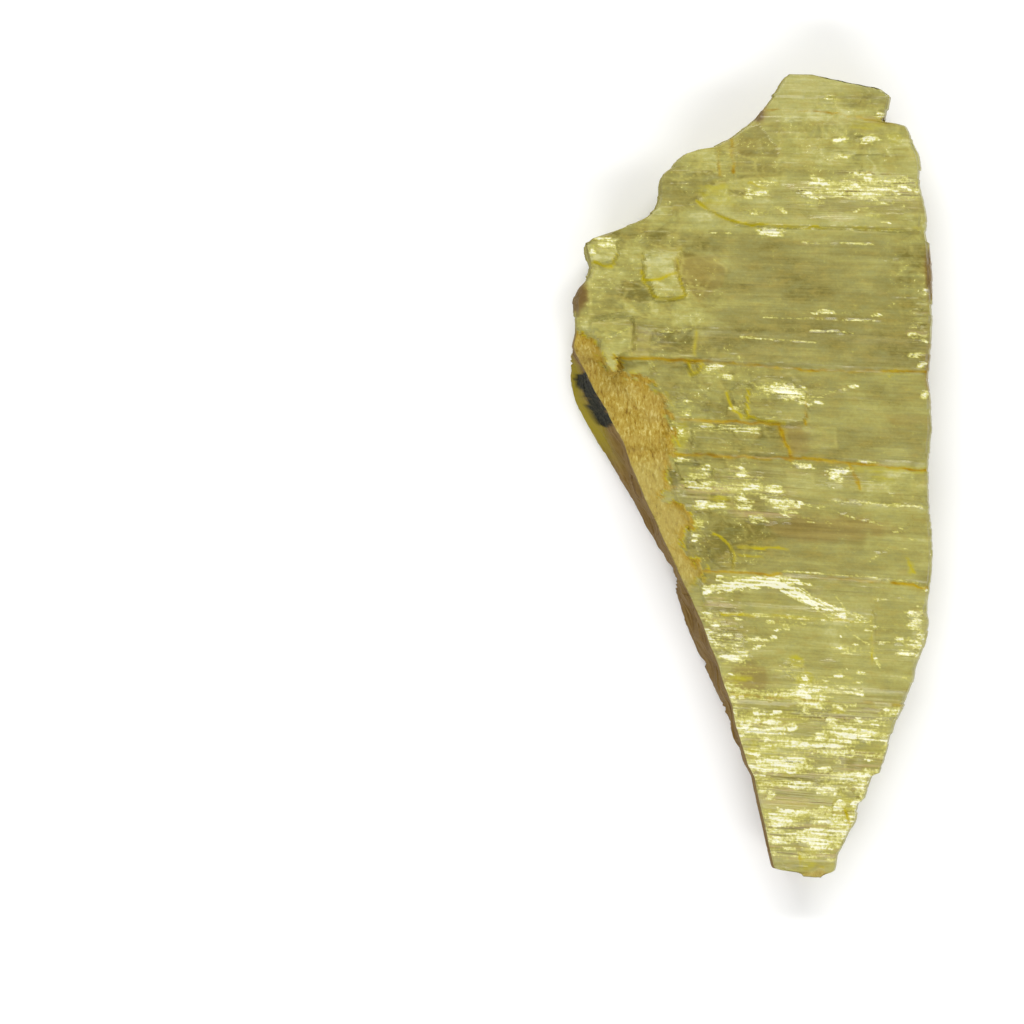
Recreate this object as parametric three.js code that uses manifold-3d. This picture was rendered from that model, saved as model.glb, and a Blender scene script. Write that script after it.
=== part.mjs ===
// Orpiment specimen: one broken cleavage slab of the mineral, lying on its flat back.
// Millimetres, +Z up. +Y runs along the slab from its narrow tip to its square end, +X across it.
// The slab is a row of cross-sections that follow the kink lines across the upper cleavage face.
// Broken sheets of the mineral stand on that face as thin plates and are fused to it.

import * as THREE from "three";
import { mergeVertices } from "three/addons/utils/BufferGeometryUtils.js";
import Module from "manifold-3d";

// Driving dimensions
const FACE_LEVEL = 8.6; // mean height of the upper cleavage face over the resting face
const SHEET_STEP = 0.4; // broken edge of the top sheet, where it ends over the fibrous bevel
const BEVEL_SLOPE = 0.3; // fall of the fibrous bevel for each millimetre towards the left wall
const FLARE_FOOT = 1.3; // height of the widest line of the flared left wall
const FLARE_FULL = 1.4; // a wall that leans out by this much is fully flared
const BROKEN_LIP = 0.7; // how far below the face the widest line of the other walls lies
const FLARED_TUCK = 0.35; // how far the resting face lies inside the outline under the flared wall
const BROKEN_TUCK = 1.1; // and under the other walls
const RIM_CHAMFER = 0.3; // worn rim of the upper face
const SHEAR = 0.12; // width of a near-vertical sheet edge
const SLIM_WIDTH = 6; // where the slab is narrower than this, its walls lean and step back less
const ROW_STEP = 0.85; // longest distance between two cross-sections
const RIB_STEP = 0.42; // half the pitch of the ribs in the striated bands
const RIB_HEIGHT = 0.09;
const FACE_COLUMNS = 10; // points across the upper face in each cross-section
const WALL_SHEETS = 3; // thick sheets that end one over the other in a broken wall
const LEDGE_DEPTH = 0.5; // how far the edge of such a sheet stands back at most
const LEDGE_SWAY = 0.3; // how far a ledge wanders up and down along the wall
const MERGE_GAP = 1e-4; // vertices closer than this are one
const PLATE_ROOT = 0.9; // a plate starts this far below the face, so that it fuses to the slab
const SLAB_NAME = "orpiment_slab";
const MINERAL = { color: 0xb4ab60, roughness: 0.3, metalness: 0 };

// Kink lines run across the slab and lean down to the right, more so in the lower half.
const LEAN_HIGH = { y: 30, slope: 0.015 };
const LEAN_LOW = { y: 2, slope: 0.06 };

// Broad, gentle unevenness of the cleavage face: waves with their turn for each millimetre across and along
const SWELLS = [
  { height: 0.06, across: 0.45, along: 0.2, start: 0 },
  { height: 0.05, across: 0.3, along: -0.4, start: 1.3 },
];

// Shoulder at the upper left, where several sheets have come away; it falls from this corner to its drop
const SHOULDER = { x: -3, y: 11, width: 8, length: 5, drop: 0.5 };

// Turn of the ledges' waves for each millimetre along a wall, and the shift from one sheet to the next
const SWAY_WAVE = { turn: 0.23, shift: 2.1 };
const STEP_WAVE = { turn: 0.9, quicker: 0.4, shift: 2.6 };

// Left side of the outline, from the square end down to the tip
const LEFT_SIDE = [
  [4.2, 40.6], [3.4, 40.3], [2.9, 39.8], [2.1, 38.5], [0.7, 36.7], [0.2, 36],
  [-1.8, 34.3], [-3.7, 33.1], [-5.7, 32.9], [-6.2, 32.5], [-7, 32.4], [-8.1, 31.4],
  [-8.2, 31], [-8.8, 30.8], [-9.5, 29.6], [-9.6, 28.8], [-9.5, 28], [-9.7, 27],
  [-11.1, 25.9], [-13.2, 25.1], [-15.2, 24.3], [-16.2, 24.1], [-17, 22.9], [-16.8, 22.1],
  [-16.3, 20.9], [-16.5, 20], [-17.7, 18.7], [-18, 17.8], [-17.9, 17], [-18, 16.2],
  [-17.8, 14.5], [-18.2, 13], [-18.3, 11.2], [-18.3, 9.5], [-17.8, 7.5], [-16.6, 5.3],
  [-14.9, 2.6], [-13.3, -0.1], [-11.5, -3.2], [-9.7, -6.5], [-8, -9.4], [-7.5, -10.4],
  [-7.7, -11.5], [-6.7, -14.6], [-5.4, -17.8], [-5, -18.4], [-4.5, -18.6], [-4.6, -19.3],
  [-3.2, -22.5], [-2.5, -24], [-2, -25.9], [-0.7, -29], [-0.1, -30], [0.7, -33.6],
  [1.8, -38.5], [2, -39.4], [2.3, -39.65], [5, -39.95], [5.3, -40.3], [5.6, -40.6],
];

// Right side of the outline, from the square end down to the tip
const RIGHT_SIDE = [
  [4.2, 40.6], [5.3, 40.5], [10.1, 39.5], [13.1, 39], [13.8, 38.5], [14.1, 38],
  [13.6, 36.3], [13.4, 35.6], [14.4, 35.5], [15.6, 35.3], [16.1, 34.7], [16.3, 33.1],
  [16.8, 32.4], [17.1, 31.2], [17, 29.2], [17.6, 26.8], [17.8, 25.8], [17.6, 24.8],
  [17.9, 23.4], [18.2, 20.2], [18.3, 16.8], [18.2, 14], [17.9, 11.2], [17.9, 9.7],
  [18.1, 8.2], [18.2, 4.7], [18, 2.8], [17.9, -1.4], [18.3, -7.8], [17.9, -12.1],
  [17.9, -13.8], [18.1, -14.6], [17.7, -16.6], [16.7, -19.1], [16.4, -20.7], [15.6, -22.8],
  [14.5, -24.8], [13.9, -27.6], [13.1, -29.9], [12.3, -30.2], [11.8, -31.8], [11.7, -32.3],
  [11.2, -32.8], [10.8, -34.6], [10.1, -35.8], [9.7, -36.9], [8.9, -38.1], [9, -38.7],
  [8.7, -39.9], [7.4, -40.15], [7, -40.6],
];

// Rim of the flared left wall
const WALL_RIM = [
  [-18, 14], [-17.8, 12.8], [-16.6, 10.5], [-14.6, 7], [-12.8, 3.6], [-11.5, -0.2],
  [-10.2, -3.2], [-8.3, -7.4], [-7.2, -9.8], [-5.9, -12.6], [-4.9, -14.7], [-4.3, -16.6],
  [-3.5, -18.6], [-2.9, -20.7], [-2.1, -22.7], [-1.7, -24.7], [-1.1, -26.7], [-0.1, -29.9],
];

// Ragged edge of the top sheet, between the cleavage face and the fibrous bevel
const SHEET_EDGE = [
  [-16.3, 14.5], [-15.3, 13.3], [-13.3, 12.2], [-11.2, 11.8], [-10.1, 11.3], [-10, 9.3],
  [-9.2, 8.6], [-8.5, 7.7], [-8.4, 6.4], [-7.9, 5.6], [-8.8, 3.8], [-8.3, 2.4],
  [-8, -1], [-6.9, -3.2], [-6.1, -5.5], [-6.3, -7.5], [-5.1, -9.7], [-4.7, -12.6],
  [-4.1, -15.6], [-3.5, -18.1],
];

// Profile of the cleavage face along the slab: [place of the kink line, height over the face level]
const KINKS = [
  [40.6, -0.6], [38.3, -0.4], [38, -0.6], [36.1, -0.5], [35.8, -0.35], [35.7, -0.25],
  [35.4, -0.25], [33, -0.15], [32.8, -0.15], [32.3, -0.13], [31.3, -0.12], [30.9, -0.11],
  [30.4, -0.1], [24.4, -0.2], [22.6, -0.18], [20.5, -0.15], [17.8, -0.12], [14.5, -0.1],
  [13.8, -0.02], [11.5, 0.05],
  [11, -0.32], [9.2, -0.3], [5.5, -0.25], [5, -0.42], [2.4, -0.2], [1.9, -0.5],
  [-1.2, -0.35], [-2.4, -0.2], [-6.5, -0.15], [-9.5, -0.1], [-9.9, -0.3], [-10.5, -0.25],
  [-11.6, -0.7], [-12.6, -0.75], [-16.6, -0.65], [-20.7, -0.55], [-21.9, -0.85],
  [-22.4, -0.75], [-22.9, -0.95], [-27.8, -0.9], [-28.5, -1.2], [-29.1, -1.25], [-29.5, -1.25],
  [-30.1, -1.55], [-31.6, -1.6], [-32, -1.8], [-34.6, -1.95], [-37.4, -2.15],
  [-37.8, -2.4], [-39.2, -2.5], [-39.45, -2.55], [-39.65, -2.7], [-39.8, -2.8], [-40.2, -3.2],
];

// Bands across the face where the mineral is ribbed by striations: [upper end, lower end]
const RIBBED_BANDS = [
  [30.2, 27.6],
  [-0.2, -2.4],
  [-12.8, -20.6],
  [-23.1, -27.6],
  [-30.3, -37.3],
];

// Broken sheets on the face: rise over it, lean of the plate to the right and to the back, and outline
const PLATES = [
  {
    rise: 0.55, lean: [0.02, -0.1],
    outline: [
      [-16.6, 23.3], [-16, 23.8], [-14, 24.2], [-13.3, 23.7], [-13.4, 22.7], [-13.8, 21.5],
      [-14.8, 21.1], [-16.1, 21.5],
    ],
  },
  {
    rise: 0.5, lean: [0, -0.07],
    outline: [
      [-10.4, 22.2], [-7.1, 22.4], [-7.5, 20.9], [-6.7, 18], [-9.5, 17.7], [-10, 19],
      [-10.9, 20.4],
    ],
  },
  {
    rise: 0.5, lean: [0.03, -0.05],
    outline: [
      [-16.5, 15.4], [-14.2, 15.8], [-12.1, 16], [-11.8, 12.6], [-13.2, 12], [-13.5, 10.3],
      [-14.3, 10], [-14.8, 11.8], [-15.3, 13.2],
    ],
  },
  {
    rise: 0.2, lean: [0, -0.08],
    outline: [
      [-3.5, 30.4], [-4.8, 29], [-5.4, 27.7], [-4.5, 26.6], [-2.9, 26.1], [-1.6, 25.3], [2, 25],
      [11.1, 24.8], [16.8, 24.4], [16.9, 27.5], [16.3, 29.4], [13.1, 30.4], [6.2, 30.2], [4, 30.4],
    ],
  },
  {
    rise: 0.15, lean: [0.01, -0.08],
    outline: [
      [6.2, 35.3], [13.1, 35.3], [15.3, 34.8], [15.7, 33], [16.2, 32], [11.1, 32.2], [5.8, 32.8],
    ],
  },
  {
    rise: 0.35, lean: [0.02, -0.06],
    outline: [
      [-0.1, 9.3], [1.5, 9.9], [4, 9.6], [5.2, 8.2], [5.7, 7.2], [5.3, 5.4], [3.2, 5.2],
      [-0.7, 6], [-0.5, 7.7],
    ],
  },
  {
    rise: 0.3, lean: [0.04, 0.02],
    outline: [[-2.3, 8.5], [-1.1, 9.5], [-0.4, 9.1], [-0.8, 6.6], [-1.8, 7.2]],
  },
  {
    rise: 0.55, lean: [0, 0.05],
    outline: [[-6.7, 11.4], [-5.4, 11.3], [-5.3, 10.5], [-5.9, 10.1]],
  },
  {
    rise: 0.28, lean: [0, 0.02],
    outline: [[-6.1, 4.8], [2.6, 4.6], [3.2, 3.4], [3.9, 2.1], [-6.1, 2.6]],
  },
  {
    rise: 0.3, lean: [-0.05, 0],
    outline: [[-4.6, -5.7], [-2.9, -6.3], [-2, -7.5], [-1.8, -9.1], [-3.1, -9.2], [-4.3, -8.1]],
  },
  {
    rise: 0.26, lean: [0, 0.01],
    outline: [[12.2, -12.4], [17.4, -12.8], [17.2, -16.4], [16.1, -18.6], [12.5, -18.1]],
  },
  {
    rise: 0.3, lean: [0.05, 0.03],
    outline: [[8.1, -32.8], [10.7, -33], [10.2, -34.8], [8.8, -37.3], [7.6, -36.7]],
  },
];

// Broken hollow beside the bevel, where small blocks have dropped out of the sheet
const HOLLOW = {
  depth: 0.45,
  outline: [[-7.6, 1.4], [-5.1, 1.3], [-3.9, 0.8], [-4.4, -1], [-7.1, -1.2]],
};

const clamp01 = (t) => Math.min(1, Math.max(0, t));
const mix = (a, b, t) => a + (b - a) * t;
const smooth = (t) => t * t * (3 - 2 * t);

// Value at place y of a list of [place, value] pairs that runs from high places to low ones
function along(list, y) {
  const below = list.findIndex(([place]) => place <= y);
  if (below < 0) return list[list.length - 1][1];
  if (below === 0) return list[0][1];
  const [y0, v0] = list[below - 1];
  const [y1, v1] = list[below];
  return mix(v0, v1, (y0 - y) / (y0 - y1));
}

// Y of the kink line that crosses the middle of the slab at place s, where it passes x
function kinkY(s, x) {
  const t = clamp01((LEAN_HIGH.y - s) / (LEAN_HIGH.y - LEAN_LOW.y));
  return s - mix(LEAN_HIGH.slope, LEAN_LOW.slope, t) * x;
}

// X where the kink line at s crosses a chain of points, or undefined where the chain isn't there
function crossing(chain, s) {
  for (let i = 1; i < chain.length; i++) {
    const [ax, ay] = chain[i - 1];
    const [bx, by] = chain[i];
    const a = ay - kinkY(s, ax);
    const b = by - kinkY(s, bx);
    if (a >= 0 && b <= 0 && a > b) return mix(ax, bx, a / (a - b));
  }
  return undefined;
}

// Height of the cleavage face at x on the kink line at s
function faceHeight(x, s) {
  const swell = SWELLS.map((wave) => wave.height * Math.sin(wave.across * x + wave.along * s + wave.start));
  const leftward = smooth(clamp01((SHOULDER.x - x) / SHOULDER.width));
  const upward = smooth(clamp01((s - SHOULDER.y) / SHOULDER.length));
  const level = FACE_LEVEL + along(KINKS, s) - SHOULDER.drop * leftward * upward;
  return swell.reduce((height, rise) => height + rise, level);
}

// Points of one wall, from the resting face up to just under the rim; side is -1 on the left, 1 on the right.
// The wall leans out to its widest line and in again to the rim, and its sheets stand back by turns.
function wall(side, s, outline, rim, rimHeight, slim) {
  const flare = smooth(clamp01((side * (outline - rim)) / FLARE_FULL));
  const widest = mix(rimHeight - BROKEN_LIP * slim, FLARE_FOOT, flare);
  const foot = outline - side * mix(BROKEN_TUCK, FLARED_TUCK, flare) * slim;
  const leanAt = (z) =>
    z < widest ? mix(foot, outline, z / widest) : mix(outline, rim, (z - widest) / (rimHeight - widest));
  const points = [{ x: foot, z: 0 }, { x: outline, z: widest }];
  for (let ledge = 1; ledge < WALL_SHEETS; ledge++) {
    const sway = LEDGE_SWAY * Math.sin(SWAY_WAVE.turn * s + SWAY_WAVE.shift * ledge + side);
    const level = (rimHeight * ledge) / WALL_SHEETS + sway;
    for (const sheet of [ledge - 1, ledge]) {
      const z = level + (sheet < ledge ? -SHEAR : SHEAR);
      const turn = STEP_WAVE.turn + STEP_WAVE.quicker * sheet;
      const wave = Math.sin(turn * s + STEP_WAVE.shift * sheet + side);
      points.push({ x: leanAt(z) - side * LEDGE_DEPTH * slim * (0.5 + 0.5 * wave), z });
    }
  }
  return points.sort((a, b) => a.z - b.z);
}

// One closed cross-section: resting face, left wall, bevel, cleavage face and right wall
function section(s, rib) {
  const left = crossing(LEFT_SIDE, s);
  const right = crossing(RIGHT_SIDE, s);
  const slim = clamp01((right - left) / SLIM_WIDTH);
  const leftRim = Math.max(crossing(WALL_RIM, s) ?? left, left + RIM_CHAMFER * slim);
  const sheetEdge = Math.max(crossing(SHEET_EDGE, s) ?? leftRim, leftRim + 2 * SHEAR * slim);
  const rightRim = right - RIM_CHAMFER * slim;
  const bevel = sheetEdge - leftRim;
  const step = SHEET_STEP * clamp01(bevel);
  const footHeight = faceHeight(sheetEdge, s) - step;
  const rimHeight = footHeight - BEVEL_SLOPE * bevel - RIM_CHAMFER * slim * clamp01(1 - bevel);
  const rightHeight = faceHeight(rightRim, s) - RIM_CHAMFER * slim;
  const face = Array.from({ length: FACE_COLUMNS }, (_, i) => {
    const x = mix(sheetEdge, rightRim - SHEAR * slim, i / (FACE_COLUMNS - 1));
    return { x, z: faceHeight(x, s) + rib };
  });
  const loop = [
    ...wall(-1, s, left, leftRim, rimHeight, slim),
    { x: leftRim, z: rimHeight },
    { x: sheetEdge - SHEAR * slim, z: footHeight },
    ...face,
    { x: rightRim, z: rightHeight },
    ...wall(1, s, right, rightRim, rightHeight, slim).reverse(),
  ];
  return loop.map(({ x, z }) => new THREE.Vector3(x, kinkY(s, x), z));
}

// Places of the cross-sections from the square end to the tip, with the height of the rib each one carries
function sectionPlaces() {
  const places = [];
  for (let i = 1; i < KINKS.length; i++) {
    const [from, to] = [KINKS[i - 1][0], KINKS[i][0]];
    const middle = (from + to) / 2;
    const ribbed = RIBBED_BANDS.some(([high, low]) => middle < high && middle > low);
    const parts = Math.ceil((from - to) / (ribbed ? RIB_STEP : ROW_STEP));
    for (let k = 0; k < parts; k++) {
      const side = k % 2 ? 1 : -1;
      places.push({ s: mix(from, to, k / parts), rib: ribbed && k ? side * RIB_HEIGHT : 0 });
    }
  }
  places[0].s -= SHEAR;
  places.push({ s: KINKS[KINKS.length - 1][0] + SHEAR, rib: 0 });
  return places;
}

// Solid through the cross-sections, closed by a flat cap at each end
function slabGeometry() {
  const loops = sectionPlaces().map(({ s, rib }) => section(s, rib));
  const count = loops[0].length;
  const index = [];
  for (let row = 1; row < loops.length; row++) {
    for (let k = 0; k < count; k++) {
      const next = (k + 1) % count;
      const [a, b] = [(row - 1) * count + k, (row - 1) * count + next];
      const [c, d] = [row * count + k, row * count + next];
      index.push(a, c, b, b, c, d);
    }
  }
  const cap = (loop, offset, flip) => {
    const flat = loop.map((p) => new THREE.Vector2(p.x, p.z));
    for (const [a, b, c] of THREE.ShapeUtils.triangulateShape(flat, [])) {
      index.push(...[a, flip ? c : b, flip ? b : c].map((k) => k + offset));
    }
  };
  cap(loops[0], 0, true);
  cap(loops[loops.length - 1], (loops.length - 1) * count, false);
  return new THREE.BufferGeometry().setFromPoints(loops.flat()).setIndex(index);
}

// A plate with this outline, from below the face to its rise over it, leaning as a broken sheet does
function plateGeometry({ outline, bottom, top, lean = [0, 0] }) {
  const shape = new THREE.Shape(outline.map(([x, y]) => new THREE.Vector2(x, y)));
  const box = new THREE.Box2().setFromPoints(shape.getPoints());
  const middle = box.getCenter(new THREE.Vector2());
  const level = faceHeight(middle.x, middle.y);
  return new THREE.ExtrudeGeometry(shape, { depth: top - bottom, bevelEnabled: false })
    .translate(-middle.x, -middle.y, 0)
    .rotateX(lean[1])
    .rotateY(lean[0])
    .translate(middle.x, middle.y, level + bottom);
}

const wasm = await Module();
wasm.setup();

// Solid of a closed geometry, with the vertices that its faces share merged
function solid(geometry) {
  const bare = geometry.clone().deleteAttribute("normal").deleteAttribute("uv");
  const merged = mergeVertices(bare, MERGE_GAP);
  return new wasm.Manifold(
    new wasm.Mesh({
      numProp: 3,
      vertProperties: merged.attributes.position.array,
      triVerts: new Uint32Array(merged.index.array),
    }),
  );
}

// Geometry of a solid, moved so that the middle of its resting box is the origin
function restingGeometry(body) {
  const mesh = body.getMesh();
  const geometry = new THREE.BufferGeometry()
    .setAttribute("position", new THREE.BufferAttribute(mesh.vertProperties, mesh.numProp))
    .setIndex(new THREE.BufferAttribute(mesh.triVerts, 1));
  geometry.computeBoundingBox();
  const { min, max } = geometry.boundingBox;
  geometry.translate(-(min.x + max.x) / 2, -(min.y + max.y) / 2, -min.z);
  geometry.computeVertexNormals();
  return geometry;
}

const hollow = plateGeometry({ outline: HOLLOW.outline, bottom: -HOLLOW.depth, top: PLATE_ROOT });
const body = PLATES.reduce(
  (slab, { outline, rise, lean }) =>
    slab.add(solid(plateGeometry({ outline, lean, bottom: -PLATE_ROOT, top: rise }))),
  solid(slabGeometry()).subtract(solid(hollow)),
);

const slab = new THREE.Mesh(restingGeometry(body), new THREE.MeshStandardMaterial(MINERAL));
slab.name = SLAB_NAME;

const specimen = new THREE.Group();
specimen.add(slab);

export default specimen;
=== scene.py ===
"""Looks of an orpiment specimen: a broken cleavage slab of the mineral, lying on a pale floor.

The slab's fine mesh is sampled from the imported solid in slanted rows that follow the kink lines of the
mineral. Striations, flakes, cracks, the fibrous bevel and the layered walls are then worked into it.
Shapes are worked out in millimetres and stored in metres.
"""

import math
import zlib

import bpy
import numpy as np
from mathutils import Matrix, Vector
from mathutils.bvhtree import BVHTree


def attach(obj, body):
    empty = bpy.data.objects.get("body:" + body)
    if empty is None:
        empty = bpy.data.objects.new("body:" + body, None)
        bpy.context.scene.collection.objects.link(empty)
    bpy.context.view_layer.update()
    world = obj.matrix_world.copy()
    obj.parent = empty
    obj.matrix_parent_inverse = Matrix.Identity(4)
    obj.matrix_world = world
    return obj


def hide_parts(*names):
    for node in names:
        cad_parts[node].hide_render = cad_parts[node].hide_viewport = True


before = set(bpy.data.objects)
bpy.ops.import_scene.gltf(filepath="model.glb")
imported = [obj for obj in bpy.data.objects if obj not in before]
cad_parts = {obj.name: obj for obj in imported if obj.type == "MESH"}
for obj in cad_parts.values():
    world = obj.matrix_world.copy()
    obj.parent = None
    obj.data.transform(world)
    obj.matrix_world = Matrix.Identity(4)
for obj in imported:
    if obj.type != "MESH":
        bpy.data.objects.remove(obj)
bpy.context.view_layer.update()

NODE = "orpiment_slab"
MM = 0.001

# Mesh of the slab
ROWS = 610
FACE_COLUMNS = 122  # across the upper face
WALL_SHEETS = 8  # cleavage sheets that show in each wall
WALL_LEVELS = 2 * WALL_SHEETS  # lower and upper edge of each sheet
SHEET_GAP = 0.012  # between two sheets, as a share of the wall
SHEET_SWAY = 0.03  # how far a sheet's edge rises and falls along the wall, as a share of it
SWAY_LENGTH = 7.0
SHEET_BACK = {-1: 0.26, 1: 0.42}  # how far a sheet's edge may stand back, on the left and on the right
WAVE_LENGTH = 2.4  # length of the waves in a sheet's edge
SWAY_APART, WAVE_APART = 3.7, 7.3  # steps in the noise from one sheet to the next
FINE_BACK = 0.05  # depth of the finest chips
UNDERCUT = 2.0  # a wall goes in under its rim by no more than this
LOWEST_PROBE = 0.02  # the walls are probed no lower than this
BASE_COLUMNS = 4  # across the resting face
BASE_LIFT = 0.12  # how far some of its scales are off the floor
BASE_TOUCHING = 0.6  # share of them that touch it
END_INSET = 0.06  # first and last row lie this far inside the solid's ends
MAP_STEP = 0.1  # spacing of the map of heights
MAP_MARGIN = 10  # steps that the map goes past the outline
OUTLINE_PROBES = 16  # heights at which the outline is looked for
OUTLINE_FOOT, OUTLINE_TOP = 0.05, 0.97  # the lowest, and the highest as a share of the slab's height
RIM_START, RIM_REACH = 0.05, 6.0  # how far inside the outline the rim of a wall is looked for
RIM_SHARE = 0.4  # and how far at most, as a share of the slab's width
RIM_LOOK = 1.0  # how far ahead the slope is taken
RIM_SLOPE = 0.75  # a wall is steeper than this, the face isn't
RIM_INSET = 0.3  # how far inside it lies where none is found
RIM_NARROW = 6.0  # width below which that is less
LEAST_INSET = 0.02
RAGGED_INSIDE = 1.5  # ledges are fully ragged from this far inside the rims
SLOPE_REACH = 6  # rows on either side that the face's slope is smoothed over
OUTSIDE = 40.0  # a place well outside the slab
SHARP_ANGLE = 14.0
JAG = 0.08  # usual stray of the broken outline from the solid's
JAG_SMALL_SHARE = 0.45  # stray of the small notches, as a share of the coarse ones'
JAG_REACH = 8  # rows on either side that show how the outline runs
JAG_SIDEWAYS, JAG_MOST = 0.9, 4.0  # how much more it strays where it runs across, and the most
JAG_END = 0.3  # there is no stray this close to the slab's ends
JAGGED_ABOVE = 13.5  # place above which the left outline is jagged
BOX_MARGIN = 0.02  # the outline stays this far inside the solid's box

# Kink lines lean down to the right, more so in the lower half: place along the slab and slope
LEAN_PLACES = (2.0, 30.0)
LEAN_SLOPES = (0.06, 0.015)

# Along the slab: place, how strongly the face is striated, how hazy the mineral is and how much highlight is
# painted on it
BANDS = [
    (40.5, 0.02, 0.62, 0.05), (36.0, 0.02, 0.58, 0.10), (35.0, 0.05, 0.58, 0.14), (30.5, 0.05, 0.60, 0.14),
    (29.8, 0.10, 0.64, 0.20), (28.2, 0.10, 0.62, 0.20), (27.6, 0.09, 0.62, 0.22), (25.4, 0.09, 0.66, 0.22),
    (24.4, 0.12, 0.50, 0.22), (23.4, 0.03, 0.33, 0.05), (18.2, 0.03, 0.30, 0.04), (16.6, 0.06, 0.45, 0.14),
    (15.4, 0.03, 0.24, 0.06), (11.9, 0.03, 0.21, 0.06), (11.0, 0.08, 0.42, 0.16), (6.0, 0.06, 0.42, 0.10),
    (4.5, 0.03, 0.36, 0.05), (2.4, 0.05, 0.40, 0.08), (1.2, 0.10, 0.48, 0.13), (-3.0, 0.10, 0.44, 0.13),
    (-4.0, 0.10, 0.28, 0.17), (-6.4, 0.10, 0.28, 0.16), (-9.2, 0.05, 0.36, 0.10), (-10.0, 0.10, 0.52, 0.18),
    (-12.4, 0.06, 0.64, 0.08), (-14.0, 0.08, 0.66, 0.20), (-18.0, 0.10, 0.66, 0.21),
    (-21.0, 0.20, 0.54, 0.34), (-23.0, 0.40, 0.54, 0.46), (-30.0, 0.65, 0.60, 0.55),
    (-37.5, 0.60, 0.60, 0.56), (-38.5, 0.10, 0.46, 0.12),
]

# In all the lists of spots below, a spot is x, y, its radii and its strength, which is 1 where it isn't given

# Striated places besides the bands
STREAKY = [
    (11.5, 29.0, 6.5, 1.4, 0.80), (10.0, 26.5, 8.0, 1.0, 0.25), (4.0, -0.3, 12.0, 1.8, 0.25),
    (1.0, -3.3, 4.0, 1.4, 0.50), (-2.5, -1.2, 4.5, 2.2, 0.55), (-2.8, -14.8, 2.6, 3.0, 0.5),
    (16.8, -15.0, 1.5, 3.0, 0.5), (3.0, -18.0, 7.0, 2.0, 0.2), (17.0, 15.0, 1.4, 2.4, 0.4),
]

# Bands where the solid's own ribs give way to finer striations: upper and lower end
RIBBED = [(30.2, 27.6), (-0.2, -2.4), (-12.8, -20.6), (-23.1, -27.6), (-30.3, -37.3)]
RIB_REACH = 8  # rows on either side that a rib is evened out over
RIB_FADE = 0.4  # length over which this sets in

# Ledges that fade out to the right: upper and lower end, and the x where they have gone
FADING = [(6.0, 4.2, 4.0), (-9.2, -13.4, 5.5), (-20.2, -24.0, 4.0)]
FADE_REACH = 26  # rows on either side that such a ledge is spread over
FADE_WIDTH = 2.0  # width over which it goes

# Strips of the face along its kink lines: fewest and most rows, usual length, tilt and share that is tilted
STRIPS = [(1, 3, 3.0, 0.26, 1.0), (4, 10, 8.0, 0.12, 0.8), (22, 40, 14.0, 0.04, 1.0)]
QUIET_TILT = 0.08  # tilt of the other strips, as a share
CALM_STREAK = 0.07  # no strip is tilted where the face is striated less than this
TILTED_SHARE = 1.1  # share of the strips that are tilted where the face is fully striated
STRIP_HAZE = 0.07  # usual difference in haze from strip to strip
MOST_SHIFT = 31.0  # a row of strips or blocks is shifted along by up to this many of them

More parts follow.
